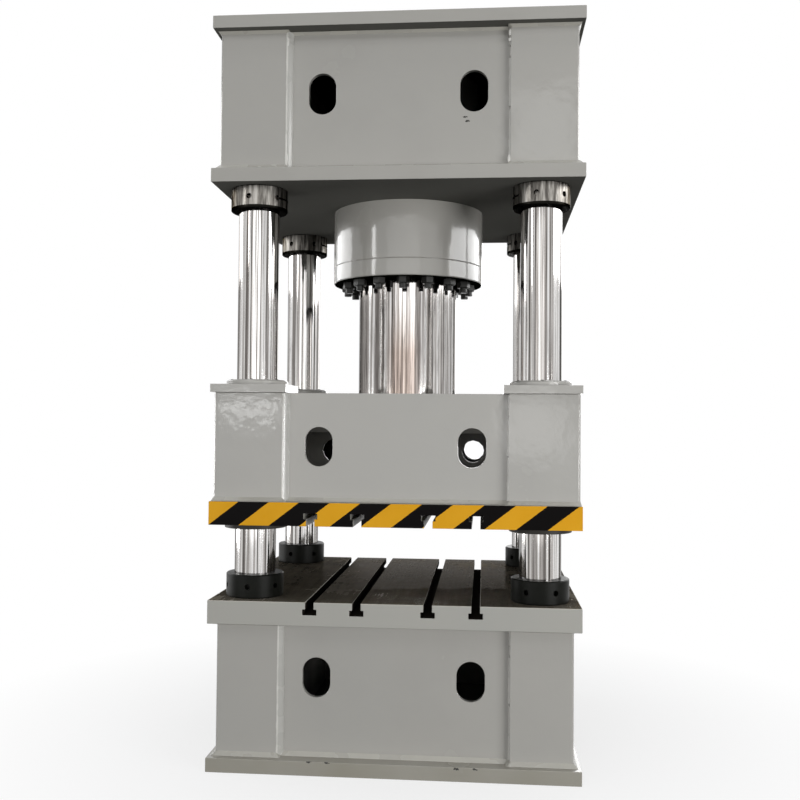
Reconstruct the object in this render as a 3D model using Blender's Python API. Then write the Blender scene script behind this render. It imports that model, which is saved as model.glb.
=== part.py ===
"""A four-column hydraulic press: bed, columns, crown with its main cylinder, and the slide.

Metres, +Z up, +X to the right of someone who stands before the press, -Y towards them.
The origin is at the centre of the base plate's underside. The slide stands part way up,
with its ram partly out of the cylinder. Slide pieces have their origin on the travel axis.
"""

import math

import bmesh
import bpy

MM = 0.001

# Clearances and cutting allowances
SEAT_GAP = 0.3 * MM          # between two pieces that rest on or against each other
RUNNING_GAP = 0.5 * MM       # between a sliding piece and its guide, on the radius
CUT_OVERRUN = 10 * MM        # how far a cutter runs past the face that it opens
WELD_ROOT = 5 * MM           # how far welded or screwed-in pieces sink into their carrier

# Facets of round pieces
COLUMN_STEPS = 18
CYLINDER_STEPS = 32
OVAL_ARC_STEPS = 6
HOLE_STEPS = 6
HEX_STEPS = 6
CORNER_ARC_STEPS = 3

# Plan of the press
PRESS_WIDTH = 1580 * MM
PRESS_DEPTH = 1450 * MM
COLUMN_SIDE_MARGIN = 165 * MM    # from the sides of bed and slide to a column's centre
COLUMN_FRONT_MARGIN = 175 * MM   # from their front or rear to a column's centre

# Bed: base plate, welded box and table
BASE_THICKNESS = 60 * MM
BED_BOX_SIDE_INSET = 30 * MM
BED_BOX_HEIGHT = 565 * MM
BED_CORNER_REACH = 130 * MM      # from a column's centre to its corner bay's inner edge
TABLE_THICKNESS = 100 * MM

# Columns and their nuts
COLUMN_CLEAR_LENGTH = 1795 * MM
COLUMN_RADIUS = 90 * MM
COLUMN_END_RADIUS = 75 * MM
COLUMN_TAIL = 20 * MM
LOCK_NUT_RADIUS = 125 * MM
LOCK_NUT_HEIGHT = 100 * MM
SPANNER_HOLE_RADIUS = 12 * MM
SPANNER_HOLE_DEPTH = 24 * MM
SPANNER_HOLE_COUNT = 6
SAW_KERF = 8 * MM
SAW_DEPTH = 24 * MM
TIE_NUT_RADIUS = 102.5 * MM
TIE_NUT_HEIGHT = 100 * MM

# Crown: two plates with a welded box between them
CROWN_OVERHANG = 10 * MM
CROWN_PLATE_THICKNESS = 60 * MM
CROWN_BOX_SIDE_INSET = 25 * MM
CROWN_BOX_HEIGHT = 610 * MM
CROWN_CORNER_REACH = 140 * MM
CROWN_TOP_THICKNESS = 55 * MM

# Walls of the three boxes
CORNER_THICKNESS = 18 * MM
PANEL_THICKNESS = 25 * MM
WALL_INSET = 50 * MM
PANEL_RECESS = 30 * MM
WALL_EDGE_CHAMFER = 7 * MM

# Slide
SLIDE_OPENING = 320 * MM
SLIDE_PLATE_THICKNESS = 100 * MM
SLIDE_BOX_SIDE_INSET = 5 * MM
SLIDE_BOX_HEIGHT = 468 * MM
SLIDE_CORNER_REACH = 140 * MM
CROSS_RIB_THICKNESS = 25 * MM
CROSS_RIB_OFFSET = 220 * MM
CROSS_RIB_HOLE_RADIUS = 52 * MM
CROSS_RIB_HOLE_HEIGHT = 212 * MM
SEAT_PLATE_RISE = 295 * MM
SEAT_PLATE_THICKNESS = 60 * MM

# Column guides in the slide's four corners
HEAD_PLATE_INNER_REACH = 163 * MM
HEAD_PLATE_REAR_REACH = 165 * MM
HEAD_PLATE_THICKNESS = 35 * MM
HEAD_PLATE_CORNER_RADIUS = 60 * MM
BUSH_RADIUS = 105 * MM
BUSH_FLANGE_RADIUS = 135 * MM
BUSH_FLANGE_THICKNESS = 21 * MM
WIPER_RING_RADIUS = 136 * MM
WIPER_RING_HEIGHT = 22 * MM
WIPER_RING_CHAMFER = 6 * MM

# Openings in the plates and walls
SLOT_OFFSETS = (-350 * MM, -150 * MM, 150 * MM, 350 * MM)
SLOT_THROAT = 36 * MM
SLOT_WIDE = 60 * MM
SLOT_WIDE_HEIGHT = 24 * MM
SLOT_DEPTH = 54 * MM
OVAL_COLUMN_DISTANCE = 295 * MM   # from a column's centre to an oval's
OVAL_WIDTH = 120 * MM
OVAL_HEIGHT = 170 * MM
CROWN_OVAL_HEIGHT = 180 * MM
BED_OVAL_CENTRE = 332 * MM
SLIDE_OVAL_CENTRE = 236 * MM
CROWN_OVAL_CENTRE = 339 * MM

# Main cylinder and ram
RING_NUT_CLEARANCE = 75 * MM      # from the crown's ribs to the ring nut
RING_NUT_WALL = 65 * MM
RING_NUT_HEIGHT = 80 * MM
CYLINDER_WALL = 65 * MM           # round the neck
CYLINDER_SHOULDER = 22.5 * MM     # how far the body stands out from the neck
CYLINDER_BODY_LENGTH = 270 * MM
CYLINDER_END_THICKNESS = 100 * MM
GLAND_THICKNESS = 80 * MM
GLAND_STUD_COUNT = 16
GLAND_STUD_MARGIN = 67.5 * MM     # from the gland's edge to a stud's centre
GLAND_STUD_RADIUS = 18 * MM
GLAND_STUD_END = 22 * MM
GLAND_NUT_CORNER_RADIUS = 31.8 * MM
GLAND_NUT_HEIGHT = 30 * MM
PISTON_LAND = 40 * MM             # how far the piston's bore stands out from the ram
RAM_FOOT_LAND = 22 * MM           # how far the ram's foot stands out from it
RAM_FOOT_HEIGHT = 30 * MM
PISTON_HEIGHT = 160 * MM
CLAMP_RING_WALL = 58 * MM         # round the ram's foot
CLAMP_RING_HEIGHT = 65 * MM
TRAVEL_DOWN = 180 * MM
TRAVEL_UP = 420 * MM
END_CUSHION = 20 * MM        # what the piston keeps clear of each end of its bore

# Heights, from the floor up
BED_BOX_BASE = BASE_THICKNESS
TABLE_BASE = BED_BOX_BASE + BED_BOX_HEIGHT
TABLE_TOP = TABLE_BASE + TABLE_THICKNESS
SLIDE_FACE = TABLE_TOP + SLIDE_OPENING
SLIDE_BOX_BASE = SLIDE_FACE + SLIDE_PLATE_THICKNESS
SLIDE_BOX_TOP = SLIDE_BOX_BASE + SLIDE_BOX_HEIGHT
HEAD_PLATE_TOP = SLIDE_BOX_TOP + HEAD_PLATE_THICKNESS
SEAT_PLATE_BASE = SLIDE_BOX_BASE + SEAT_PLATE_RISE
SEAT_PLATE_TOP = SEAT_PLATE_BASE + SEAT_PLATE_THICKNESS
CROWN_FACE = TABLE_TOP + COLUMN_CLEAR_LENGTH
CROWN_BOX_BASE = CROWN_FACE + CROWN_PLATE_THICKNESS
CROWN_BOX_TOP = CROWN_BOX_BASE + CROWN_BOX_HEIGHT
CYLINDER_MOUTH = CROWN_FACE - CYLINDER_BODY_LENGTH
GLAND_FACE = CYLINDER_MOUTH - GLAND_THICKNESS
PISTON_BASE = CYLINDER_MOUTH + END_CUSHION + TRAVEL_DOWN
PISTON_TOP = PISTON_BASE + PISTON_HEIGHT
BORE_END = PISTON_TOP + TRAVEL_UP + END_CUSHION

# Widths and places in plan
HALF_DEPTH = PRESS_DEPTH / 2
COLUMN_X = PRESS_WIDTH / 2 - COLUMN_SIDE_MARGIN
COLUMN_Y = HALF_DEPTH - COLUMN_FRONT_MARGIN
OVAL_X = COLUMN_X - OVAL_COLUMN_DISTANCE
BED_BOX_WIDTH = PRESS_WIDTH - 2 * BED_BOX_SIDE_INSET
BED_CORNER_INNER = COLUMN_X - BED_CORNER_REACH
SLIDE_BOX_WIDTH = PRESS_WIDTH - 2 * SLIDE_BOX_SIDE_INSET
SLIDE_CORNER_INNER = COLUMN_X - SLIDE_CORNER_REACH
CROWN_WIDTH = PRESS_WIDTH + 2 * CROWN_OVERHANG
CROWN_BOX_WIDTH = CROWN_WIDTH - 2 * CROWN_BOX_SIDE_INSET
CROWN_CORNER_INNER = COLUMN_X - CROWN_CORNER_REACH

# Radii round the travel axis
RING_NUT_RADIUS = CROWN_CORNER_INNER - RING_NUT_CLEARANCE
CYLINDER_NECK_RADIUS = RING_NUT_RADIUS - RING_NUT_WALL
CYLINDER_BODY_RADIUS = CYLINDER_NECK_RADIUS + CYLINDER_SHOULDER
CYLINDER_BORE_RADIUS = CYLINDER_NECK_RADIUS - CYLINDER_WALL
GLAND_STUD_CIRCLE_RADIUS = CYLINDER_BODY_RADIUS - GLAND_STUD_MARGIN
RAM_RADIUS = CYLINDER_BORE_RADIUS - PISTON_LAND
RAM_FOOT_RADIUS = RAM_RADIUS + RAM_FOOT_LAND
CLAMP_RING_RADIUS = RAM_FOOT_RADIUS + CLAMP_RING_WALL
SEAT_PLATE_DEPTH = 2 * CLAMP_RING_RADIUS

# Each corner's name, the side that it lies on and the turn of its nuts' spanner holes
CORNERS = {
    "front_left": (-1, -1),
    "front_right": (1, -1),
    "rear_left": (-1, 1),
    "rear_right": (1, 1),
}
BED_NUT_TURN_DEG = {"front_left": -2, "front_right": -31, "rear_left": -17, "rear_right": 12}
CROWN_NUT_TURN_DEG = {"front_left": -9, "front_right": -13, "rear_left": -26, "rear_right": 20}

# Surface finishes: colour, metallic and roughness
FINISHES = {
    "grey_enamel": ((0.33, 0.33, 0.30), 0.0, 0.35),
    "hazard_yellow": ((0.58, 0.29, 0.014), 0.0, 0.4),
    "hard_chrome": ((0.75, 0.75, 0.77), 1.0, 0.08),
    "turned_steel": ((0.50, 0.49, 0.46), 1.0, 0.3),
    "machined_table": ((0.16, 0.14, 0.12), 1.0, 0.3),
    "black_oxide": ((0.015, 0.015, 0.015), 0.6, 0.4),
    "cast_iron": ((0.03, 0.03, 0.03), 0.7, 0.5),
}


def finish(name):
    """Return the named material, made on its first use."""
    if name in bpy.data.materials:
        return bpy.data.materials[name]
    colour, metallic, roughness = FINISHES[name]
    material = bpy.data.materials.new(name)
    material.use_nodes = True
    shader = material.node_tree.nodes["Principled BSDF"]
    shader.inputs["Base Color"].default_value = (*colour, 1.0)
    shader.inputs["Metallic"].default_value = metallic
    shader.inputs["Roughness"].default_value = roughness
    return material


def add_object(name, shape, material_name=None):
    """Turn a bmesh into a named object with outward faces and crisp edges."""
    bmesh.ops.recalc_face_normals(shape, faces=shape.faces)
    mesh = bpy.data.meshes.new(name)
    shape.to_mesh(mesh)
    shape.free()
    mesh.shade_smooth()
    mesh.set_sharp_from_angle(angle=math.radians(30))
    if material_name:
        mesh.materials.append(finish(material_name))
    piece = bpy.data.objects.new(name, mesh)
    bpy.context.scene.collection.objects.link(piece)
    return piece


def add_cutter(name, shape):
    """Turn a bmesh into a hidden object that only serves a Boolean modifier."""
    cutter = add_object(name, shape)
    cutter.hide_render = True
    cutter.display_type = "WIRE"
    return cutter


def combine(piece, tool, operation):
    """Cut the tool's shape out of a piece, or weld it on."""
    modifier = piece.modifiers.new(f"{operation.lower()}_{tool.name}", "BOOLEAN")
    modifier.operation = operation
    modifier.solver = "EXACT"
    modifier.object = tool


def along_y(u, v, w):
    return (u, w, v)


def along_z(u, v, w):
    return (u, v, w)


def add_prism(shape, outline, place, low, high):
    """Add the prism of a 2-D outline that runs from low to high along the third axis."""
    lower = [shape.verts.new(place(u, v, low)) for u, v in outline]
    upper = [shape.verts.new(place(u, v, high)) for u, v in outline]
    shape.faces.new(lower)
    shape.faces.new(upper[::-1])
    count = len(outline)
    for i in range(count):
        j = (i + 1) % count
        shape.faces.new((lower[i], lower[j], upper[j], upper[i]))


def add_box(shape, x_range, y_range, z_range):
    """Add a box between the given limits."""
    outline = [
        (x_range[0], y_range[0]),
        (x_range[1], y_range[0]),
        (x_range[1], y_range[1]),
        (x_range[0], y_range[1]),
    ]
    add_prism(shape, outline, along_z, *z_range)


def add_turned(shape, profile, steps, centre=(0, 0), closed=True):
    """Add the solid that a profile of (radius, height) points turns about a vertical axis.

    A closed profile makes a ring. An open one starts and ends on the axis.
    """
    rings = []
    for radius, height in profile:
        if radius == 0:
            rings.append([shape.verts.new((centre[0], centre[1], height))] * steps)
            continue
        angles = [2 * math.pi * i / steps for i in range(steps)]
        rings.append([
            shape.verts.new((
                centre[0] + radius * math.cos(angle),
                centre[1] + radius * math.sin(angle),
                height,
            ))
            for angle in angles
        ])
    pairs = list(zip(rings, rings[1:]))
    if closed:
        pairs.append((rings[-1], rings[0]))
    for lower, upper in pairs:
        for i in range(steps):
            j = (i + 1) % steps
            corners = (lower[i], lower[j], upper[j], upper[i])
            shape.faces.new(list(dict.fromkeys(corners)))


def circle(centre, radius, steps, turn=0):
    """Points of a regular polygon, as a turned piece has them."""
    angles = [turn + 2 * math.pi * i / steps for i in range(steps)]
    return [
        (centre[0] + radius * math.cos(angle), centre[1] + radius * math.sin(angle))
        for angle in angles
    ]


def obround(centre, width, height):
    """Outline of an upright slot with half-round ends."""
    radius = width / 2
    straight = height / 2 - radius
    points = []
    for end, start in ((1, 0), (-1, math.pi)):
        for i in range(OVAL_ARC_STEPS + 1):
            angle = start + math.pi * i / OVAL_ARC_STEPS
            points.append((
                centre[0] + radius * math.cos(angle),
                centre[1] + end * straight + radius * math.sin(angle),
            ))
    return points


def column_places():
    """Yield each corner's name with its column's place and sides."""
    for corner, (side_x, side_y) in CORNERS.items():
        yield corner, (side_x * COLUMN_X, side_y * COLUMN_Y), side_x, side_y


def slot_outline(offset, face, inward):
    """Outline in X and Z of a T-slot that opens at a face and goes inward from it."""
    throat = SLOT_THROAT / 2
    wide = SLOT_WIDE / 2
    mouth = face - inward * CUT_OVERRUN
    neck = face + inward * (SLOT_DEPTH - SLOT_WIDE_HEIGHT)
    bottom = face + inward * SLOT_DEPTH
    half = [(throat, mouth), (throat, neck), (wide, neck), (wide, bottom)]
    right = [(offset + x, z) for x, z in half]
    left = [(offset - x, z) for x, z in reversed(half)]
    return right + left


def plate(name, width, depth, z_range, material_name):
    """A plate centred on the press."""
    shape = bmesh.new()
    add_box(shape, (-width / 2, width / 2), (-depth / 2, depth / 2), z_range)
    return add_object(name, shape, material_name)


def add_column_holes(shape, radius, z_range):
    """Add a cutter's cylinders for the four columns."""
    for _, place, _, _ in column_places():
        add_prism(shape, circle(place, radius, COLUMN_STEPS), along_z, *z_range)


def slotted_plate(name, width, z_range, face, inward, hole_radius, material_name):
    """A plate with T-slots along its depth and a hole for each column."""
    piece = plate(name, width, PRESS_DEPTH, z_range, material_name)
    shape = bmesh.new()
    for offset in SLOT_OFFSETS:
        outline = slot_outline(offset, face, inward)
        add_prism(shape, outline, along_y, -HALF_DEPTH - CUT_OVERRUN, HALF_DEPTH + CUT_OVERRUN)
    add_column_holes(shape, hole_radius, (z_range[0] - CUT_OVERRUN, z_range[1] + CUT_OVERRUN))
    combine(piece, add_cutter(f"{name}_cutter", shape), "DIFFERENCE")
    return piece


def wall_outline(half_width, inner, side_y):
    """Plan of a box's front or rear wall: proud corners beside a recessed middle panel."""
    chamfer = WALL_EDGE_CHAMFER
    face = HALF_DEPTH - WALL_INSET
    half = [
        (half_width, face - CORNER_THICKNESS),
        (half_width, face - chamfer),
        (half_width - chamfer, face),
        (inner, face),
        (inner, face - PANEL_RECESS),
    ]
    inside = [
        (inner + CORNER_THICKNESS, face - PANEL_RECESS - PANEL_THICKNESS),
        (inner + CORNER_THICKNESS, face - CORNER_THICKNESS),
    ]
    outline = half + [(-x, y) for x, y in reversed(half)]
    outline += [(-x, y) for x, y in reversed(inside)] + inside
    return [(x, side_y * y) for x, y in outline]


def box_walls(prefix, width, inner, z_range, oval_centre, oval_height):
    """The front and rear walls, sides and lengthwise ribs of a welded box."""
    low = z_range[0] + SEAT_GAP
    high = z_range[1] - SEAT_GAP
    corner_back = HALF_DEPTH - WALL_INSET - CORNER_THICKNESS
    panel_back = HALF_DEPTH - WALL_INSET - PANEL_RECESS - PANEL_THICKNESS
    for end, side_y in (("front", -1), ("rear", 1)):
        shape = bmesh.new()
        add_prism(shape, wall_outline(width / 2, inner, side_y), along_z, low, high)
        piece = add_object(f"{prefix}_{end}_wall", shape, "grey_enamel")
        reach = sorted((side_y * HALF_DEPTH, side_y * (panel_back - CUT_OVERRUN)))
        holes = bmesh.new()
        for side_x in (-1, 1):
            centre = (side_x * OVAL_X, z_range[0] + oval_centre)
            add_prism(holes, obround(centre, OVAL_WIDTH, oval_height), along_y, *reach)
        combine(piece, add_cutter(f"{prefix}_{end}_ovals", holes), "DIFFERENCE")
    plates = (
        ("side", width / 2 - CORNER_THICKNESS, width / 2, corner_back - SEAT_GAP),
        ("rib", inner, inner + CORNER_THICKNESS, panel_back - SEAT_GAP),
    )
    for part, near, far, end in plates:
        for side, side_x in (("left", -1), ("right", 1)):
            shape = bmesh.new()
            add_box(shape, sorted((side_x * near, side_x * far)), (-end, end), (low, high))
            add_object(f"{prefix}_{part}_{side}", shape, "grey_enamel")


def bed():
    """The base plate, the welded box on it and the slotted table."""
    plate("base_plate", PRESS_WIDTH, PRESS_DEPTH, (0, BASE_THICKNESS), "grey_enamel")
    box_walls("bed", BED_BOX_WIDTH, BED_CORNER_INNER, (BED_BOX_BASE, TABLE_BASE),
              BED_OVAL_CENTRE, OVAL_HEIGHT)
    slotted_plate("bed_table", PRESS_WIDTH, (TABLE_BASE, TABLE_TOP), TABLE_TOP, -1,
                  COLUMN_END_RADIUS + SEAT_GAP, "machined_table")


def columns():
    """The four chromed columns, each with a shoulder at the bed and at the crown."""
    low = TABLE_BASE - TIE_NUT_HEIGHT - COLUMN_TAIL
    high = CROWN_BOX_BASE + TIE_NUT_HEIGHT + COLUMN_TAIL
    profile = [
        (0, low),
        (COLUMN_END_RADIUS, low),
        (COLUMN_END_RADIUS, TABLE_TOP + SEAT_GAP),
        (COLUMN_RADIUS, TABLE_TOP + SEAT_GAP),
        (COLUMN_RADIUS, CROWN_FACE - SEAT_GAP),
        (COLUMN_END_RADIUS, CROWN_FACE - SEAT_GAP),
        (COLUMN_END_RADIUS, high),
        (0, high),
    ]
    for corner, place, _, _ in column_places():
        shape = bmesh.new()
        add_turned(shape, profile, COLUMN_STEPS, place, closed=False)
        add_object(f"column_{corner}", shape, "hard_chrome")


def add_ring(shape, bore, radius, z_range, steps, centre=(0, 0)):
    """Add a plain upright ring."""
    low, high = z_range
    profile = [(bore, low), (radius, low), (radius, high), (bore, high)]
    add_turned(shape, profile, steps, centre)


def lock_nut(name, place, base, turn_deg, saw_side, material_name):
    """A round nut with spanner holes, and a clamping saw cut where saw_side isn't 0."""
    shape = bmesh.new()
    add_ring(shape, COLUMN_RADIUS + SEAT_GAP, LOCK_NUT_RADIUS, (base, base + LOCK_NUT_HEIGHT),
             COLUMN_STEPS, place)
    piece = add_object(name, shape, material_name)
    middle = base + LOCK_NUT_HEIGHT / 2
    holes = bmesh.new()
    for i in range(SPANNER_HOLE_COUNT):
        angle = math.radians(turn_deg - 90) + 2 * math.pi * i / SPANNER_HOLE_COUNT
        out = (math.cos(angle), math.sin(angle))

        def radially(u, v, w, out=out):
            return (place[0] + out[0] * w - out[1] * u, place[1] + out[1] * w + out[0] * u, v)

        add_prism(holes, circle((0, middle), SPANNER_HOLE_RADIUS, HOLE_STEPS), radially,
                  LOCK_NUT_RADIUS - SPANNER_HOLE_DEPTH, LOCK_NUT_RADIUS + CUT_OVERRUN)
    combine(piece, add_cutter(f"{name}_holes", holes), "DIFFERENCE")
    if saw_side:
        kerf = bmesh.new()
        x_range = sorted((place[0] + saw_side * (LOCK_NUT_RADIUS - SAW_DEPTH),
                          place[0] + saw_side * (LOCK_NUT_RADIUS + CUT_OVERRUN)))
        y_range = (place[1] - LOCK_NUT_RADIUS, place[1] + LOCK_NUT_RADIUS)
        add_box(kerf, x_range, y_range, (middle - SAW_KERF / 2, middle + SAW_KERF / 2))
        combine(piece, add_cutter(f"{name}_kerf", kerf), "DIFFERENCE")


def nuts():
    """The lock nuts against the bed and crown, and the tie nuts inside them."""
    for corner, place, side_x, _ in column_places():
        lock_nut(f"bed_lock_nut_{corner}", place, TABLE_TOP + SEAT_GAP,
                 BED_NUT_TURN_DEG[corner], 0, "black_oxide")
        lock_nut(f"crown_lock_nut_{corner}", place, CROWN_FACE - SEAT_GAP - LOCK_NUT_HEIGHT,
                 CROWN_NUT_TURN_DEG[corner], -side_x, "turned_steel")
        bed_base = TABLE_BASE - SEAT_GAP - TIE_NUT_HEIGHT
        for prefix, base in (("bed", bed_base), ("crown", CROWN_BOX_BASE + SEAT_GAP)):
            shape = bmesh.new()
            add_ring(shape, COLUMN_END_RADIUS + SEAT_GAP, TIE_NUT_RADIUS,
                     (base, base + TIE_NUT_HEIGHT), COLUMN_STEPS, place)
            add_object(f"{prefix}_tie_nut_{corner}", shape, "black_oxide")


def crown():
    """The crown's bottom plate, box and top plate."""
    piece = plate("crown_bottom_plate", CROWN_WIDTH, PRESS_DEPTH,
                  (CROWN_FACE, CROWN_BOX_BASE), "grey_enamel")
    shape = bmesh.new()
    z_range = (CROWN_FACE - CUT_OVERRUN, CROWN_BOX_BASE + CUT_OVERRUN)
    add_column_holes(shape, COLUMN_END_RADIUS + SEAT_GAP, z_range)
    neck_hole = circle((0, 0), CYLINDER_NECK_RADIUS + SEAT_GAP, CYLINDER_STEPS)
    add_prism(shape, neck_hole, along_z, *z_range)
    combine(piece, add_cutter("crown_bottom_plate_cutter", shape), "DIFFERENCE")
    box_walls("crown", CROWN_BOX_WIDTH, CROWN_CORNER_INNER, (CROWN_BOX_BASE, CROWN_BOX_TOP),
              CROWN_OVAL_CENTRE, CROWN_OVAL_HEIGHT)
    plate("crown_top_plate", CROWN_WIDTH, PRESS_DEPTH,
          (CROWN_BOX_TOP, CROWN_BOX_TOP + CROWN_TOP_THICKNESS), "grey_enamel")


def gland_fixings(radius, steps, z_range):
    """A shape with one upright prism at each place of the gland's stud circle."""
    shape = bmesh.new()
    for i in range(GLAND_STUD_COUNT):
        angle = math.pi / 2 + 2 * math.pi * i / GLAND_STUD_COUNT
        centre = (GLAND_STUD_CIRCLE_RADIUS * math.cos(angle),
                  GLAND_STUD_CIRCLE_RADIUS * math.sin(angle))
        add_prism(shape, circle(centre, radius, steps, angle), along_z, *z_range)
    return shape


def cylinder():
    """The cylinder with its closed end, the nut that holds it, and the bolted gland."""
    profile = [
        (0, BORE_END),
        (CYLINDER_BORE_RADIUS, BORE_END),
        (CYLINDER_BORE_RADIUS, CYLINDER_MOUTH),
        (CYLINDER_BODY_RADIUS, CYLINDER_MOUTH),
        (CYLINDER_BODY_RADIUS, CROWN_FACE - SEAT_GAP),
        (CYLINDER_NECK_RADIUS, CROWN_FACE - SEAT_GAP),
        (CYLINDER_NECK_RADIUS, BORE_END + CYLINDER_END_THICKNESS),
        (0, BORE_END + CYLINDER_END_THICKNESS),
    ]
    shape = bmesh.new()
    add_turned(shape, profile, CYLINDER_STEPS, closed=False)
    add_object("cylinder_barrel", shape, "grey_enamel")

    shape = bmesh.new()
    base = CROWN_BOX_BASE + SEAT_GAP
    add_ring(shape, CYLINDER_NECK_RADIUS + SEAT_GAP, RING_NUT_RADIUS,
             (base, base + RING_NUT_HEIGHT), CYLINDER_STEPS)
    add_object("cylinder_ring_nut", shape, "black_oxide")

    shape = bmesh.new()
    add_ring(shape, RAM_RADIUS + RUNNING_GAP, CYLINDER_BODY_RADIUS,
             (GLAND_FACE, CYLINDER_MOUTH - SEAT_GAP), CYLINDER_STEPS)
    gland = add_object("cylinder_gland", shape, "grey_enamel")
    nut_base = GLAND_FACE - GLAND_NUT_HEIGHT
    nuts_shape = gland_fixings(GLAND_NUT_CORNER_RADIUS, HEX_STEPS,
                               (nut_base, GLAND_FACE + WELD_ROOT))
    combine(gland, add_cutter("cylinder_gland_nuts", nuts_shape), "UNION")
    studs_shape = gland_fixings(GLAND_STUD_RADIUS, HOLE_STEPS,
                                (nut_base - GLAND_STUD_END, nut_base + WELD_ROOT))
    combine(gland, add_cutter("cylinder_gland_studs", studs_shape), "UNION")


def ram():
    """The ram with its piston, and the ring that clamps its foot to the slide."""
    base = SEAT_PLATE_TOP + SEAT_GAP
    piston_radius = CYLINDER_BORE_RADIUS - RUNNING_GAP
    profile = [
        (0, base),
        (RAM_FOOT_RADIUS, base),
        (RAM_FOOT_RADIUS, base + RAM_FOOT_HEIGHT),
        (RAM_RADIUS, base + RAM_FOOT_HEIGHT),
        (RAM_RADIUS, PISTON_BASE),
        (piston_radius, PISTON_BASE),
        (piston_radius, PISTON_TOP),
        (0, PISTON_TOP),
    ]
    shape = bmesh.new()
    add_turned(shape, profile, CYLINDER_STEPS, closed=False)
    add_object("ram", shape, "hard_chrome")

    step = base + RAM_FOOT_HEIGHT + SEAT_GAP
    foot_bore = RAM_FOOT_RADIUS + SEAT_GAP
    bore = RAM_RADIUS + SEAT_GAP
    ring = [
        (foot_bore, base),
        (CLAMP_RING_RADIUS, base),
        (CLAMP_RING_RADIUS, base + CLAMP_RING_HEIGHT),
        (bore, base + CLAMP_RING_HEIGHT),
        (bore, step),
        (foot_bore, step),
    ]
    shape = bmesh.new()
    add_turned(shape, ring, CYLINDER_STEPS)
    add_object("ram_clamp_ring", shape, "black_oxide")


def head_plate_outline(side_x, side_y):
    """Plan of a guide head plate, square to the outside and rounded at its inner corner."""
    outer_x = PRESS_WIDTH / 2
    inner_x = COLUMN_X - HEAD_PLATE_INNER_REACH
    outer_y = HALF_DEPTH
    inner_y = COLUMN_Y - HEAD_PLATE_REAR_REACH
    radius = HEAD_PLATE_CORNER_RADIUS
    points = [(inner_x, outer_y), (outer_x, outer_y), (outer_x, inner_y)]
    for i in range(CORNER_ARC_STEPS + 1):
        angle = math.pi / 2 * i / CORNER_ARC_STEPS
        points.append((
            inner_x + radius - radius * math.sin(angle),
            inner_y + radius - radius * math.cos(angle),
        ))
    return [(side_x * x, side_y * y) for x, y in points]


def slide():
    """The slide's slotted plate, its welded box with guide heads, and the ram's seat."""
    slotted_plate("slide_plate", PRESS_WIDTH, (SLIDE_FACE, SLIDE_BOX_BASE), SLIDE_FACE, 1,
                  BUSH_RADIUS + SEAT_GAP, "hazard_yellow")
    box_walls("slide", SLIDE_BOX_WIDTH, SLIDE_CORNER_INNER, (SLIDE_BOX_BASE, SLIDE_BOX_TOP),
              SLIDE_OVAL_CENTRE, OVAL_HEIGHT)
    for side, side_x in (("left", -1), ("right", 1)):
        roots = bmesh.new()
        heads = bmesh.new()
        bores = bmesh.new()
        middle = SLIDE_BOX_WIDTH / 2 - CORNER_THICKNESS / 2
        for side_y in (-1, 1):
            x_range = (side_x * middle - WELD_ROOT, side_x * middle + WELD_ROOT)
            y_range = sorted((side_y * (COLUMN_Y - HEAD_PLATE_REAR_REACH + WELD_ROOT),
                              side_y * COLUMN_Y))
            add_box(roots, x_range, y_range,
                    (SLIDE_BOX_TOP - WELD_ROOT, SLIDE_BOX_TOP + WELD_ROOT))
            add_prism(heads, head_plate_outline(side_x, side_y), along_z,
                      SLIDE_BOX_TOP, HEAD_PLATE_TOP)
            place = (side_x * COLUMN_X, side_y * COLUMN_Y)
            add_prism(bores, circle(place, BUSH_RADIUS + SEAT_GAP, COLUMN_STEPS), along_z,
                      SLIDE_BOX_TOP - CUT_OVERRUN, HEAD_PLATE_TOP + CUT_OVERRUN)
        panel = bpy.data.objects[f"slide_side_{side}"]
        combine(panel, add_cutter(f"slide_head_roots_{side}", roots), "UNION")
        combine(panel, add_cutter(f"slide_heads_{side}", heads), "UNION")
        combine(panel, add_cutter(f"slide_head_bores_{side}", bores), "DIFFERENCE")

    half = SLIDE_CORNER_INNER - SEAT_GAP
    for end, side_y in (("front", -1), ("rear", 1)):
        middle = side_y * CROSS_RIB_OFFSET
        y_range = (middle - CROSS_RIB_THICKNESS / 2, middle + CROSS_RIB_THICKNESS / 2)
        shape = bmesh.new()
        add_box(shape, (-half, half), y_range,
                (SLIDE_BOX_BASE + SEAT_GAP, SEAT_PLATE_BASE - SEAT_GAP))
        rib = add_object(f"slide_cross_rib_{end}", shape, "grey_enamel")
        holes = bmesh.new()
        for side_x in (-1, 1):
            centre = (side_x * OVAL_X, SLIDE_BOX_BASE + CROSS_RIB_HOLE_HEIGHT)
            add_prism(holes, circle(centre, CROSS_RIB_HOLE_RADIUS, 2 * OVAL_ARC_STEPS), along_y,
                      y_range[0] - CUT_OVERRUN, y_range[1] + CUT_OVERRUN)
        combine(rib, add_cutter(f"slide_cross_rib_{end}_holes", holes), "DIFFERENCE")
    plate("slide_seat_plate", 2 * half, SEAT_PLATE_DEPTH, (SEAT_PLATE_BASE, SEAT_PLATE_TOP),
          "grey_enamel")


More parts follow.
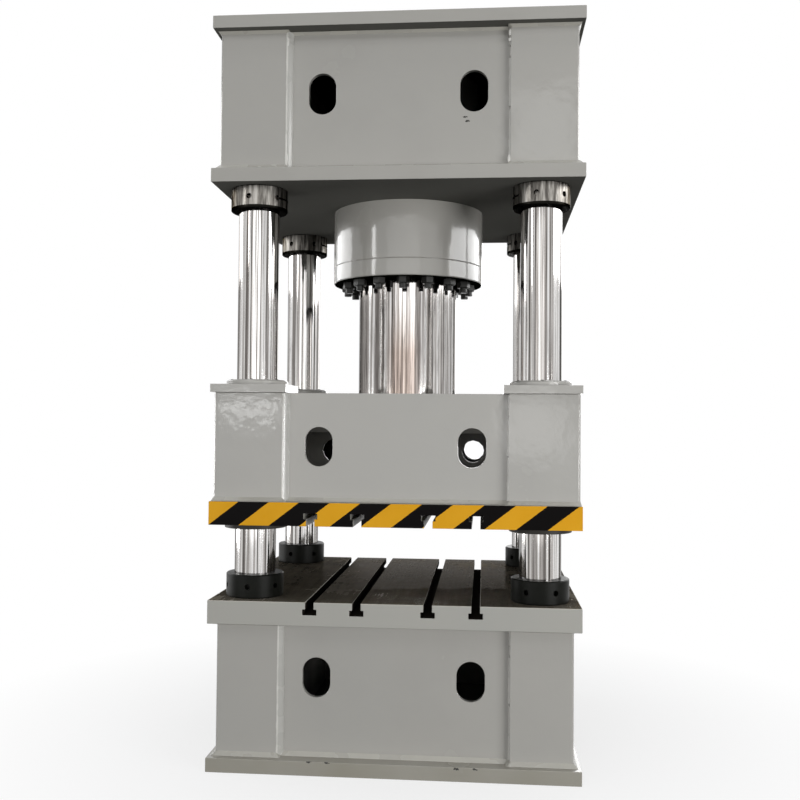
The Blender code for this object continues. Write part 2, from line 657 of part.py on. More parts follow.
def guides():
    """The flanged guide bushes and the wiper rings that hold them down."""
    bore = COLUMN_RADIUS + RUNNING_GAP
    flange_top = SLIDE_FACE - SEAT_GAP
    flange_base = flange_top - BUSH_FLANGE_THICKNESS
    bush = [
        (bore, flange_base),
        (BUSH_FLANGE_RADIUS, flange_base),
        (BUSH_FLANGE_RADIUS, flange_top),
        (BUSH_RADIUS, flange_top),
        (BUSH_RADIUS, HEAD_PLATE_TOP),
        (bore, HEAD_PLATE_TOP),
    ]
    ring_base = HEAD_PLATE_TOP + SEAT_GAP
    ring_top = ring_base + WIPER_RING_HEIGHT
    wiper = [
        (bore, ring_base),
        (WIPER_RING_RADIUS, ring_base),
        (WIPER_RING_RADIUS, ring_top - WIPER_RING_CHAMFER),
        (WIPER_RING_RADIUS - WIPER_RING_CHAMFER, ring_top),
        (bore, ring_top),
    ]
    for corner, place, _, _ in column_places():
        shape = bmesh.new()
        add_turned(shape, bush, COLUMN_STEPS, place)
        add_object(f"guide_bush_{corner}", shape, "cast_iron")
        shape = bmesh.new()
        add_turned(shape, wiper, COLUMN_STEPS, place)
        add_object(f"wiper_ring_{corner}", shape, "grey_enamel")


def clear_scene():
    """Remove whatever the scene held before."""
    for old in list(bpy.data.objects):
        bpy.data.objects.remove(old, do_unlink=True)


def main():
    clear_scene()
    bed()
    columns()
    nuts()
    crown()
    cylinder()
    slide()
    guides()
    ram()


main()
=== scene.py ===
"""The looks of a four-column hydraulic press: enamel, welds, chrome and machined faces.

Metres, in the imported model's frame: +Z up, +X to the right of someone who stands before the
press, -Y towards them. Round pieces are turned again in finer steps, the walls get smooth
ovals, and every seam between plates gets its painted weld.
"""

import math
from functools import partial

import bmesh
import bpy
from mathutils import Matrix, Vector


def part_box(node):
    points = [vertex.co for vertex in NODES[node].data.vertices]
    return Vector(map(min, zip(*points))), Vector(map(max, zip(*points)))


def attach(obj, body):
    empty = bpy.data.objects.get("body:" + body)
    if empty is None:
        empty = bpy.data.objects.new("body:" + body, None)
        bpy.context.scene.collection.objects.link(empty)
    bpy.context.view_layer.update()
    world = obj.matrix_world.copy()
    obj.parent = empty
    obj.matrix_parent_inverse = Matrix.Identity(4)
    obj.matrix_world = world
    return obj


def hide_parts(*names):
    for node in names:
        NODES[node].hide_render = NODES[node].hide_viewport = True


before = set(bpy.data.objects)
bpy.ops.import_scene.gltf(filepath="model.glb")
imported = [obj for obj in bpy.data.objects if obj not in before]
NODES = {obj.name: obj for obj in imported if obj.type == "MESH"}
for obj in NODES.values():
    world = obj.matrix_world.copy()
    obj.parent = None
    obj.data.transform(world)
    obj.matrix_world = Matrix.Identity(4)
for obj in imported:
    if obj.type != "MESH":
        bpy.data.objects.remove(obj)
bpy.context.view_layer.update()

MM = 0.001
CORNERS = ("front_left", "front_right", "rear_left", "rear_right")
HALF_TURN = math.pi

# Steps and roundings of the finer pieces
ROUND_STEPS = 96
HOLE_STEPS = 32
SMALL_STEPS = 24
SMOOTH_ANGLE = math.radians(32)
EDGE_ROUNDING = 1.5 * MM
PLATE_ROUNDING = 2.5 * MM
TABLE_ROUNDING = 3.5 * MM
TURNED_CHAMFER = 1.5 * MM
NUT_ROUNDING = 0.8 * MM
MERGE_DISTANCE = 0.01 * MM
SEAT_GAP = 0.3 * MM
CENTRE_RADIUS = 1 * MM          # where a solid turned piece closes on its axis

# Walls
CORNER_THICKNESS = 18 * MM
PANEL_THICKNESS = 25 * MM
PANEL_RECESS = 30 * MM
WALL_EDGE_CHAMFER = 7 * MM
OVAL_X = 330 * MM
OVAL_WIDTH = 120 * MM
BED_OVAL = (392 * MM, 170 * MM)        # middle height and length
SLIDE_OVAL = (1381 * MM, 170 * MM)
CROWN_OVAL = (2919 * MM, 180 * MM)

# Painted welds
WELD_LEG = 17 * MM
HEAD_LEG = 11 * MM
CROWN_FOOT_LEG = 24 * MM
STEP_LEG = 27 * MM
SLIDE_SIDE_LEG = 4 * MM
STEP_BEAD_RADIUS = 9 * MM
BEAD_PITCH = 15 * MM
WELD_WAVE = 1.3 * MM
WELD_WAVE_LENGTH = 28 * MM
WELD_SMOOTH_ANGLE = math.radians(60)
WELD_EDGES = ((900 * MM, 3), (400 * MM, 900 * MM), (150 * MM, 400 * MM))   # longest first
BED_WAVES = 0.7
CROWN_WAVES = 0.3
BEAD_WAVES = 2
DRESSED_WAVES = 0.25
DRESSED_HOLLOW = 0.32
BEAD_SIDES = 12
TOE_SHARE = 0.55
LUMP_RADIUS = 8 * MM
LUMP_DEPTH = 5 * MM
LUMP_SINK = 2 * MM
# Start, end and thickness of each run of the bead, as shares of the height and radius
BEAD_RUNS = ((0.01, 0.2, 0.8), (0.19, 0.42, 0.55), (0.44, 0.78, 0.75), (0.8, 0.86, 0.4),
             (0.87, 0.99, 0.7))
# Side of each lump, and its way inwards, up from the foot or down from the head, and length
END_LUMPS = ((-1, 4 * MM, -46 * MM, 22 * MM), (-1, 3 * MM, 52 * MM, 30 * MM),
             (1, 3 * MM, -30 * MM, 16 * MM), (1, 3 * MM, -62 * MM, 9 * MM),
             (1, 4 * MM, 34 * MM, 20 * MM))

# Nuts, bush and ring
SPANNER_HOLE_RADIUS = 12 * MM
SPANNER_HOLE_DEPTH = 24 * MM
SPANNER_HOLE_COUNT = 6
SAW_KERF = 8 * MM
SAW_DEPTH = 24 * MM
NUT_CHAMFER = 4 * MM
# Height of the painted shade round the foot of each crown nut
SHADED_LIP = 13 * MM
BED_NUT_TURNS_DEG = (-2, -31, -17, 12)          # in the order of the corners
CROWN_NUT_TURNS_DEG = (-9, -13, -26, 20)
COLUMN_RADIUS = 90 * MM
COLUMN_END_RADIUS = 75 * MM
BUSH_RADIUS = 105 * MM
BUSH_FLANGE_THICKNESS = 21 * MM
RUNNING_BORE = 90.5 * MM
NUT_BORE = 90.3 * MM
WIPER_CHAMFER = 6 * MM
WIPER_LIP = 4 * MM

# Cylinder, gland and ram
CYLINDER_NECK_RADIUS = 345 * MM
CYLINDER_BORE_RADIUS = 280 * MM
CYLINDER_BORE_TOP = 3050 * MM
CYLINDER_CHAMFER = 4 * MM
SEAM_CHAMFER = 3 * MM
GLAND_BORE = 240.5 * MM
GLAND_FACE = 2170 * MM
GLAND_TOP = 2249.7 * MM
STUD_CIRCLE_RADIUS = 300 * MM
STUD_COUNT = 16
STUD_RADIUS = 18 * MM
HEX_CORNER_RADIUS = 31.8 * MM
HEX_HEIGHT = 30 * MM
HEX_CHAMFER = 3 * MM
HEX_SMOOTH_ANGLE = math.radians(20)
STUD_CHAMFER = 2 * MM
STUD_LAP = 1 * MM
SCREW_CHAMFER = 1 * MM
CLAMP_CHAMFER = 3 * MM
RAM_RADIUS = 240 * MM
RAM_FOOT_RADIUS = 262 * MM
RAM_FOOT_HEIGHT = 30 * MM
PISTON_BASE = 2450 * MM
CLAMP_SCREW_COUNT = 12
CLAMP_SCREW_RADIUS = 18 * MM
CLAMP_SCREW_HEIGHT = 14 * MM
CLAMP_SCREW_SOCKET = 10 * MM
WIPER_SCREW_COUNT = 6
WIPER_SCREW_CIRCLE = 115 * MM
WIPER_SCREW_RADIUS = 6.5 * MM
WIPER_SCREW_HEIGHT = 4 * MM
WIPER_SCREW_SINK = 1 * MM
WIPER_SCREW_SOCKET = 0.55 * WIPER_SCREW_RADIUS

# Paint and metal
FILM_IOR = 1.5                  # of enamel and of oil
PRESS_GREY = "#A2A19C"
FACING = 0.5                    # a face looks up past 0.5, and down past -0.5
BOX_INSIDE = (700 * MM, 618 * MM)
CHIP_SQUEEZE = (0.6, 1, 1.6)    # a chip is wider than high
CHIP_REACH = 22 * MM
CHIP_LOSS = 5 * MM
CHIP_SPOTS = [(x * MM, -725 * MM, z * MM) for x, z in
              ((-345, 58), (-271, 58), (275, 54), (353, 54))]
CROWN_SMUDGES = [(x * MM, -645 * MM, z * MM) for x, z in ((292, 2806), (300, 2788))]
# Where the warm painted reflection on the ram's front fades out upwards
WARM_REFLECTION_TOP = 2080 * MM
WARM_REFLECTION_FADE = 260 * MM
# Painted reflections on the chrome: streaks round each axis in bands and fine lines
COLUMN_REFLECTION_STREAKS = 3.1            # waves in one radius round the column
RAM_REFLECTION_STREAKS = 5.5
RAM_WARM_REFLECTION = 0.75
STREAK_STRETCH = (0, 0, 0.02)   # and few along it
CHROME_REFLECTION_BANDS = ((0.30, "#7A7673"), (0.38, "#ABA7A4"), (0.43, "#DEDCDA"), (0.47, "#FFFFFF"),
                (0.51, "#F1F0EF"), (0.55, "#C0BDBA"), (0.58, "#9A9693"), (0.61, "#E4E2E1"),
                (0.66, "#FFFFFF"))
CHROME_REFLECTION_LINES = ((0.34, "#1F1D1B"), (0.39, "#5A5653"), (0.43, "#C9C6C4"), (0.455, "#FFFFFF"),
                (0.49, "#F1F0EF"), (0.502, "#8D8986"), (0.51, "#4F4B48"), (0.52, "#C9C6C4"),
                (0.54, "#FFFFFF"), (0.59, "#DEDCDA"), (0.62, "#7A7673"), (0.65, "#3A3734"))
# Painted reflection streaks on the turned steel nuts
STEEL_REFLECTION_TONES = ((0.34, "#3D3B38"), (0.43, "#585551"), (0.50, "#6F6C67"), (0.57, "#888580"),
               (0.66, "#A09D98"))
TABLE_TONES = ((0.35, "#716A5E"), (0.48, "#81796B"), (0.60, "#91897B"), (0.72, "#A39D90"))
TABLE_MARGIN = 5 * MM
PAINT_MARGIN = 3 * MM
STRIPE_WIDTH = 130.5 * MM
STRIPE_LEAN = 1.3
STRIPE_START = 660 * MM
STRIPE_WANDER = 3 * MM
STRIPE_DEPTH = 2.8 * MM
LAST_BLACK_STRIPE = 12

# Floor, lamps and camera. Each lamp has its place, the point it faces, size and power
FLOOR_SIZE = 60
FLOOR_NEAR = 0.8
FLOOR_FAR = 2.4
SOFTBOXES = {
    "front_softbox": ((-0.5, -9.0, 1.8), (0, 0, 1.6), (8, 5), 110),
    "high_front_softbox": ((-1.0, -6.5, 7.2), (0, 0, 1.5), (7, 2.4), 75),
    "low_left_softbox": ((-6.0, -7.0, 1.1), (0, 0, 1.2), (4, 1.5), 125),
    "low_right_softbox": ((6.5, -6.2, 1.1), (0, 0, 1.2), (5, 1.5), 460),
    "left_softbox": ((-6.8, 1.0, 1.0), (0, 0, 1.4), (4, 1.6), 150),
    "overhead_softbox": ((0, -0.5, 8.0), (0, 0, 1), (6, 6), 150),
    "rear_softbox": ((1.5, 8.0, 3.0), (0, 0, 1.5), (6, 4), 190),
}
GLOSS_PANELS = {
    "front_left_strip": ((-4.1, -3.75, 3.85), (0, 0, 2.4), (0.55, 1.8), 32),
    "left_panel": ((-5.5, 2.2, 3.85), (0, 0, 2.4), (4.8, 1.8), 120),
    "right_panel": ((5.6, -0.7, 3.85), (0, 0, 2.4), (3.8, 1.8), 130),
    "rear_right_panel": ((5.0, 3.2, 3.85), (0, 0, 2.4), (3.8, 1.8), 110),
    "slide_left_glint": ((-2.66, -9.0, 1.70), (-0.6, 0, 1.5), (0.75, 0.22), 4.5),
    "slide_right_glint": ((1.0, -9.0, 1.5), (0.6, 0, 1.4), (0.75, 0.8), 4),
    "crown_right_glint": ((1.1, -9.0, 5.33), (0.6, 0, 2.7), (0.9, 0.9), 4),
}
CAMERA_PLACE = Vector((0.3817, -4.8110, 1.4661))
CAMERA_YAW = 0.0865
CAMERA_PITCH = 0.0284
CAMERA_ROLL = 0.0084
CAMERA_LENS = 43.84
CAMERA_SENSOR = 36
CAMERA_REACH = 100


def deselect():
    """Leave edit mode and select nothing."""
    if bpy.context.object and bpy.context.object.mode == "EDIT":
        close_mesh()
    bpy.ops.object.select_all(action="DESELECT")


def choose(*pieces):
    """Select these pieces alone, the first of them active."""
    deselect()
    for piece in pieces:
        piece.select_set(True)
    bpy.context.view_layer.objects.active = pieces[0]


def settle(name, edit=True):
    """Name the piece just made, put its place into its mesh, and open it to shape it further."""
    piece = bpy.context.object
    piece.name = name
    bpy.ops.object.transform_apply(location=True, rotation=True, scale=True)
    if edit:
        bpy.ops.object.mode_set(mode="EDIT")
    return piece


def open_mesh(piece):
    """Select a piece alone and open it in edit mode."""
    choose(piece)
    bpy.ops.object.mode_set(mode="EDIT")


def close_mesh():
    """Leave edit mode."""
    bpy.ops.object.mode_set(mode="OBJECT")


def pick(kind, test):
    """Select the edit mesh's faces, edges or verts that pass a test."""
    mesh = bpy.context.object.data
    shape = bmesh.from_edit_mesh(mesh)
    bpy.ops.mesh.select_mode(type={"faces": "FACE", "edges": "EDGE", "verts": "VERT"}[kind])
    bpy.ops.mesh.select_all(action="DESELECT")
    for part in getattr(shape, kind):
        if test(part):
            part.select_set(True)
    bmesh.update_edit_mesh(mesh)


def tidy_mesh(piece, angle=SMOOTH_ANGLE):
    """Merge doubles, point the faces outwards and smooth the shallow edges."""
    open_mesh(piece)
    bpy.ops.mesh.select_all(action="SELECT")
    bpy.ops.mesh.remove_doubles(threshold=MERGE_DISTANCE)
    bpy.ops.mesh.normals_make_consistent(inside=False)
    close_mesh()
    bpy.ops.object.shade_smooth_by_angle(angle=angle)
    return piece


def apply_modifier(piece, name, kind, **settings):
    """Add a modifier with its settings and apply it."""
    choose(piece)
    modifier = piece.modifiers.new(name, kind)
    for key, value in settings.items():
        setattr(modifier, key, value)
    bpy.ops.object.modifier_apply(modifier=modifier.name)


def round_edges(piece, width=EDGE_ROUNDING, segments=2):
    """Break the sharp edges with a small rounding."""
    tidy_mesh(piece)
    apply_modifier(piece, "edge_rounding", "BEVEL", width=width, segments=segments,
                   limit_method="ANGLE", angle_limit=SMOOTH_ANGLE)
    bpy.ops.object.shade_smooth_by_angle(angle=SMOOTH_ANGLE)
    apply_modifier(piece, "flat_faces", "WEIGHTED_NORMAL", keep_sharp=True)
    return piece


def cut(piece, cutter):
    """Cut one piece's shape out of another."""
    apply_modifier(piece, "cut", "BOOLEAN", operation="DIFFERENCE", solver="EXACT",
                   object=cutter)
    bpy.data.objects.remove(cutter)


def joined(name, pieces):
    """Make one piece of several."""
    choose(*pieces)
    if len(pieces) > 1:
        bpy.ops.object.join()
    pieces[0].name = name
    return pieces[0]


def copied(piece, name, move=(0, 0, 0), turn=0):
    """Copy a piece, with a mesh of its own that is turned about the travel axis and moved."""
    copy = piece.copy()
    copy.data = piece.data.copy()
    copy.name = name
    bpy.context.scene.collection.objects.link(copy)
    copy.data.transform(Matrix.Translation(move) @ Matrix.Rotation(turn, 4, "Z"))
    return copy


def block(name, low, high):
    """A block between two corners, left open in edit mode."""
    size = Vector(high) - Vector(low)
    deselect()
    bpy.ops.mesh.primitive_cube_add(size=1, location=Vector(low) + size / 2, scale=size)
    return settle(name)


def turned(name, profile, steps=ROUND_STEPS, closed=True):
    """Turn a piece on the travel axis, ring by ring along its profile of (radius, height)."""
    radius, height = profile[0]
    deselect()
    bpy.ops.mesh.primitive_circle_add(vertices=steps, radius=radius, location=(0, 0, height))
    piece = settle(name)
    bpy.ops.mesh.select_all(action="SELECT")
    for next_radius, next_height in profile[1:]:
        rise = (0, 0, next_height - height)
        bpy.ops.mesh.extrude_edges_move(TRANSFORM_OT_translate={"value": rise})
        spread = next_radius / radius
        bpy.ops.transform.resize(value=(spread, spread, 1), center_override=(0, 0, next_height))
        radius, height = next_radius, next_height
    pick("edges", lambda edge: edge.is_boundary)
    if closed:
        bpy.ops.mesh.bridge_edge_loops()
    else:
        bpy.ops.mesh.fill_holes(sides=0)
    return tidy_mesh(piece)


def on_circle(count, radius, start=0.0, height=0.0):
    """The places of what repeats on a circle, each with its angle."""
    for i in range(count):
        angle = start + 2 * math.pi * i / count
        yield Vector((radius * math.cos(angle), radius * math.sin(angle), height)), angle


def ring_profile(bore, radius, low, high, chamfer):
    """Profile of an upright ring with its outer edges chamfered."""
    return [(bore, low), (radius - chamfer, low), (radius, low + chamfer),
            (radius, high - chamfer), (radius - chamfer, high), (bore, high)]


def corner_place(node):
    """Where a column, or a piece on it, has its own axis."""
    low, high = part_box(node)
    return Vector(((low.x + high.x) / 2, (low.y + high.y) / 2, 0))


def box_front(box):
    """The corners of a box's front wall, its steps' x and the y of its recessed panel."""
    low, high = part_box(f"{box}_front_wall")
    return low, high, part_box(f"{box}_rib_right")[0].x, low.y + PANEL_RECESS


def finished(piece, finish, body, slot, *nodes):
    """Give a piece its finish, the body that it rides on and the nodes that it stands for."""
    piece.data.materials.clear()
    piece.data.materials.append(finish)
    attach(piece, body)
    if nodes:
        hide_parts(*nodes)


def second_finish(piece, finish, test):
    """Give another finish to the faces that pass a test."""
    piece.data.materials.append(finish)
    open_mesh(piece)
    pick("faces", test)
    piece.active_material_index = 1
    bpy.ops.object.material_slot_assign()
    close_mesh()


# Finishes


def linear(code):
    """Turn an sRGB hex colour to linear light."""
    channels = [int(code[i:i + 2], 16) / 255 for i in (1, 3, 5)]
    return (*(c / 12.92 if c <= 0.04045 else ((c + 0.055) / 1.055) ** 2.4 for c in channels), 1)


def add_node(tree, kind, *values, stops=(), **words):
    """Add a node. Values fill its sockets in order, and words in capitals name further sockets.

    A socket takes a number, a vector, a hex colour, or a node to link. Words in small letters
    are the node's settings, and stops are a ramp's places and colours.
    """
    node = tree.nodes.new(f"ShaderNode{kind}")
    for word, value in words.items():
        if word.islower():
            setattr(node, word, value)
    inputs = [socket for socket in node.inputs if socket.enabled]
    pairs = list(zip(inputs, values))
    for word, value in words.items():
        if not word.islower():
            name = word.replace("_", " ")
            pairs.append((next(s for s in inputs if s.name == name), value))
    for socket, value in pairs:
        if isinstance(value, str):
            value = linear(value)
        if isinstance(value, bpy.types.Node):
            value = next(s for s in value.outputs if s.enabled)
        if isinstance(value, bpy.types.NodeSocket):
            tree.links.new(value, socket)
        else:
            socket.default_value = value
    if stops:
        ramp = node.color_ramp.elements
        for place, code in stops:
            ramp.new(place).color = linear(code)
        ramp.remove(ramp[0])
        ramp.remove(ramp[-1])
    return node


def new_finish(name, **constants):
    """Start a material, with its shader's constants set on their own sockets.

    Also gives what adds a node to it, what plugs nodes into its shader, and Object coordinates.
    """
    material = bpy.data.materials.new(name)
    material.use_nodes = True
    tree = material.node_tree
    shader = tree.nodes["Principled BSDF"]
    for key, value in constants.items():
        if isinstance(value, str):
            value = linear(value)
        shader.inputs[key.replace("_", " ")].default_value = value
    place = add_node(tree, "TexCoord").outputs["Object"]
    return material, partial(add_node, tree), partial(link_sockets, tree, shader), place


def link_sockets(tree, target, **links):
    """Link nodes to the sockets of a node that is already there, such as the shader."""
    for key, node in links.items():
        output = next(s for s in node.outputs if s.enabled)
        tree.links.new(output, target.inputs[key.replace("_", " ")])


def per(length):
    """A pattern's scale, from the real length of one of its waves."""
    return 1 / length


def within(add, value, limit):
    """1 where a coordinate lies nearer to zero than a limit, else 0."""
    size = add("Math", value, operation="ABSOLUTE")
    return add("Math", size, limit, operation="LESS_THAN")


def upward(add):
    """How far a face looks up: 1 on a floor, 0 on a wall, -1 on an underside."""
    normal = add("NewGeometry").outputs["Normal"]
    return add("SeparateXYZ", normal).outputs["Z"]


def gloss_enamel(name, tone, inside_tone="#0E0E0B", inside=(0, 0, 1), chips=(), gloss=0.2,
                 coat=0.8):
    """Gloss enamel sprayed on steel plate: soft waves in the light, like orange peel.

    Undersides are painted darker, as shade, and are matt. The plates that close a box are painted
    near black inside it, as shade, up to x and y on the side that looks up (1) or down (-1). A
    chip in an edge shows dark steel.
    """
    material, add, plug, place = new_finish(
        name, IOR=FILM_IOR, Specular_IOR_Level=gloss, Coat_Weight=coat, Coat_Roughness=0.08)
    x, y = add("SeparateXYZ", place).outputs[:2]
    up = upward(add)
    clouds = add("TexNoise", place, Scale=per(700 * MM), Detail=3, Roughness=0.6)
    paint = add("MixRGB", clouds, tone, "#A8A59F")
    smears = add("TexNoise", place, Scale=per(260 * MM), Detail=4, Roughness=0.5)
    smear_depth = add("MapRange", smears, From_Min=0.45, From_Max=0.8, To_Min=1, To_Max=0.95)
    paint = add("MixRGB", 1, paint, smear_depth, blend_type="MULTIPLY")
    for spot in chips:
        ragged = add("TexNoise", place, Scale=per(7 * MM), Detail=3)
        offset = add("VectorMath", place, spot, operation="SUBTRACT")
        spread = add("VectorMath", offset, CHIP_SQUEEZE, operation="MULTIPLY")
        distance = add("VectorMath", spread, operation="LENGTH").outputs["Value"]
        reach = add("Math", ragged, CHIP_REACH, -CHIP_LOSS, operation="MULTIPLY_ADD")
        chip = add("Math", distance, reach, operation="LESS_THAN")
        paint = add("MixRGB", chip, paint, "#2E2C28")
    # Painted shade: undersides are darkened towards a dark grey, and made matt
    under = add("MapRange", up, From_Min=-0.75, From_Max=-0.95, To_Min=0, To_Max=0.8)
    paint = add("MixRGB", under, paint, "#3D3E3A")
    # Painted shade: faces inside a closed box take the near-black inside tone
    within_x = within(add, x, inside[0])
    within_y = within(add, y, inside[1])
    hidden = add("Math", within_x, within_y, operation="MULTIPLY")
    inward = add("Math", up, inside[2], operation="MULTIPLY")
    inward = add("Math", inward, FACING, operation="GREATER_THAN")
    hidden = add("Math", hidden, inward, operation="MULTIPLY")
    paint = add("MixRGB", hidden, paint, inside_tone)
    rough = add("Math", smears, 0.15, 0.17, operation="MULTIPLY_ADD")
    rough = add("Math", rough, under, operation="ADD")
    peel = add("TexNoise", place, Scale=per(26 * MM), Detail=1, Roughness=0.5)
    sag = add("TexNoise", place, Scale=per(90 * MM), Detail=2, Roughness=0.5)
    waves = add("Math", sag, 3, peel, operation="MULTIPLY_ADD")
    bump = add("Bump", Height=waves, Strength=0.6, Distance=0.5 * MM)
    plug(Base_Color=paint, Roughness=rough, Normal=bump, Coat_Normal=bump)
    return material


def weld_enamel(name, tone, crest_tone):
    """Enamel over a weld: the weld's ripples and runs catch light."""
    material, add, plug, place = new_finish(
        name, IOR=FILM_IOR, Coat_Weight=0.4, Coat_Roughness=0.1)
    clouds = add("TexNoise", place, Scale=per(120 * MM), Detail=2)
    paint = add("MixRGB", clouds, tone, crest_tone)
    ripples = add("TexVoronoi", place, Scale=per(9 * MM), Randomness=0.8)
    bump = add("Bump", Height=ripples, Strength=0.5, Distance=1.2 * MM)
    rough = add("Math", clouds, 0.2, 0.18, operation="MULTIPLY_ADD")
    plug(Base_Color=paint, Roughness=rough, Normal=bump)
    return material


def hard_chrome(name, axis, streak_scale, warm_reflection=0.0):
    """Ground and polished hard chrome, with its reflections painted in as streaks and a warm
    patch.
    """
    material, add, plug, place = new_finish(name, Metallic=1.0, Specular_Tint="#A9A9A9")
    about = add("VectorMath", place, axis, operation="SUBTRACT")
    flat = add("VectorMath", about, (1, 1, 0), operation="MULTIPLY")
    around = add("VectorMath", flat, operation="NORMALIZE")
    along = add("VectorMath", about, STREAK_STRETCH, operation="MULTIPLY")
    seat = add("VectorMath", around, along, operation="ADD")
    offset = add("VectorMath", seat, axis, operation="ADD")
    broad = add("TexNoise", offset, Scale=streak_scale, Detail=2, Roughness=0.55)
    fine = add("TexNoise", offset, Scale=3.0 * streak_scale, Detail=5, Roughness=0.75)
    # Painted reflection: bright and dark streaks stand in for what the chrome mirrors
    bands = add("ValToRGB", broad, stops=CHROME_REFLECTION_BANDS)
    lines = add("ValToRGB", fine, stops=CHROME_REFLECTION_LINES)
    reflection_streaks = add("MixRGB", 1, bands, lines, blend_type="MULTIPLY")
    depth = add("SeparateXYZ", around).outputs["Y"]
    level = add("SeparateXYZ", place).outputs["Z"]
    # Painted reflection: a warm patch on the front, fading out upwards
    front = add("MapRange", depth, From_Min=-0.93, From_Max=-0.98, To_Max=warm_reflection)
    fading = add("MapRange", level, From_Min=WARM_REFLECTION_TOP, From_Max=WARM_REFLECTION_TOP - WARM_REFLECTION_FADE)
    reflection_warmth = add("Math", front, fading, operation="MULTIPLY")
    colour = add("MixRGB", reflection_warmth, reflection_streaks, "#B8A396", blend_type="MULTIPLY")
    haze = add("TexNoise", place, Scale=per(60 * MM), Detail=4, Roughness=0.6)
    rough = add("Math", haze, 0.08, 0.04, operation="MULTIPLY_ADD")
    plug(Base_Color=colour, Roughness=rough)
    return material


def turned_steel():
    """Bright steel off the lathe: fine rings, painted reflection streaks, and painted shade below.
    """
    material, add, plug, place = new_finish("turned_steel", Metallic=1.0, Specular_Tint="#595856")
    squash = add("VectorMath", place, (1, 1, 0.1), operation="MULTIPLY")
    # Painted reflection: vertical streaks in the tone stand in for what the steel mirrors
    reflection_streaks = add("TexNoise", squash, Scale=per(14 * MM), Detail=4, Roughness=0.6)
    tone = add("ValToRGB", reflection_streaks, stops=STEEL_REFLECTION_TONES)
    height = add("SeparateXYZ", place).outputs["Z"]
    rings = add("Math", height, 2 * math.pi * per(3 * MM), operation="MULTIPLY")
    rings = add("Math", rings, operation="SINE")
    bump = add("Bump", Height=rings, Strength=0.15, Distance=0.2 * MM)
    rough = add("Math", reflection_streaks, 0.2, 0.2, operation="MULTIPLY_ADD")
    # Painted shade: the underside and lowest lip of each nut are painted near black
    under = add("Math", upward(add), -FACING, operation="LESS_THAN")
    lip_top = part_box("crown_lock_nut_front_left")[0].z + SHADED_LIP
    lip = add("Math", height, lip_top, operation="LESS_THAN")
    under = add("Math", under, lip, operation="MAXIMUM")
    tone = add("MixRGB", under, tone, "#151412")
    plug(Base_Color=tone, Roughness=rough, Normal=bump)
    return material


def black_oxide(name="black_oxide", tone="#070806", light_tone="#141511", gloss=0.08):
    """Steel blackened in hot salts and oiled: nearly black, with a satin sheen."""
    material, add, plug, place = new_finish(name, IOR=FILM_IOR, Specular_IOR_Level=gloss)
    clouds = add("TexNoise", place, Scale=per(35 * MM), Detail=5, Roughness=0.65)
    colour = add("MixRGB", clouds, tone, light_tone)
    rough = add("Math", clouds, 0.3, 0.22, operation="MULTIPLY_ADD")
    bump = add("Bump", Height=clouds, Strength=0.2, Distance=0.3 * MM)
    plug(Base_Color=colour, Roughness=rough, Normal=bump)
    return material


def machined_table():
    """A planed steel table brown with oil, enamel round its edges, painted shade in its slots."""
    material, add, plug, place = new_finish(
        "machined_table", Specular_IOR_Level=0, Specular_Tint="#45423E")
    low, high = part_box("bed_table")
    x, y, z = add("SeparateXYZ", place).outputs
    up = upward(add)
    stretched = add("VectorMath", place, (1, 0.06, 1), operation="MULTIPLY")
    passes = add("TexNoise", stretched, Scale=per(30 * MM), Detail=4, Roughness=0.7)
    oil = add("TexNoise", place, Scale=per(420 * MM), Detail=4, Roughness=0.55)
    metal = add("ValToRGB", oil, stops=TABLE_TONES)
    pass_depth = add("MapRange", passes, From_Min=0.3, From_Max=0.7, To_Min=0.8, To_Max=1.12)
    metal = add("MixRGB", 1, metal, pass_depth, blend_type="MULTIPLY")
    scratches = add("TexNoise", place, Scale=per(50 * MM), Detail=6, Distortion=2.5)
    scratch = add("Math", scratches, 0.5, operation="SUBTRACT")
    scratch = within(add, scratch, 0.006)
    scratch = add("Math", scratch, 0.35, operation="MULTIPLY")
    metal = add("MixRGB", scratch, metal, "#B9B3A8")
    top = add("Math", up, FACING, operation="GREATER_THAN")
    at_top = add("Math", z, high.z - TABLE_MARGIN, operation="GREATER_THAN")
    top = add("Math", top, at_top, operation="MULTIPLY")
    inner_x = within(add, x, high.x - PAINT_MARGIN)
    inner_y = within(add, y, high.y - PAINT_MARGIN)
    inner = add("Math", inner_x, inner_y, operation="MULTIPLY")
    over_foot = add("Math", z, low.z + TABLE_MARGIN, operation="GREATER_THAN")
    slot = add("Math", inner, over_foot, operation="MULTIPLY")
    enamel = add("MixRGB", oil, "#ABABA6", "#B1AFA8")
    # Painted shade: the slots are dark inside
    colour = add("MixRGB", slot, enamel, "#2B2723")
    colour = add("MixRGB", top, colour, metal)
    # Painted highlight: the rounded top edges are painted light and not metallic
    tilted = add("Math", up, 0.965, operation="LESS_THAN")
    lifted = add("Math", up, 0.12, operation="GREATER_THAN")
    edge_highlight = add("Math", tilted, lifted, operation="MULTIPLY")
    edge_highlight = add("Math", edge_highlight, at_top, operation="MULTIPLY")
    colour = add("MixRGB", edge_highlight, colour, "#C9C5BB")
    bare = add("Math", top, edge_highlight, operation="SUBTRACT", use_clamp=True)
    metallic = add("Math", bare, 0.5, operation="MULTIPLY")
    spots = add("MapRange", oil, From_Min=0.35, From_Max=0.65, To_Min=0.1, To_Max=0.26)
    rough = add("Math", passes, 0.1, spots, operation="MULTIPLY_ADD")
    not_top = add("Math", slot, top, operation="SUBTRACT", use_clamp=True)
    rough = add("Math", not_top, 0.6, rough, operation="MULTIPLY_ADD")
    bump = add("Bump", Height=passes, Strength=0.25, Distance=0.3 * MM)
    plug(Base_Color=colour, Metallic=metallic, Roughness=rough, Normal=bump)
    return material


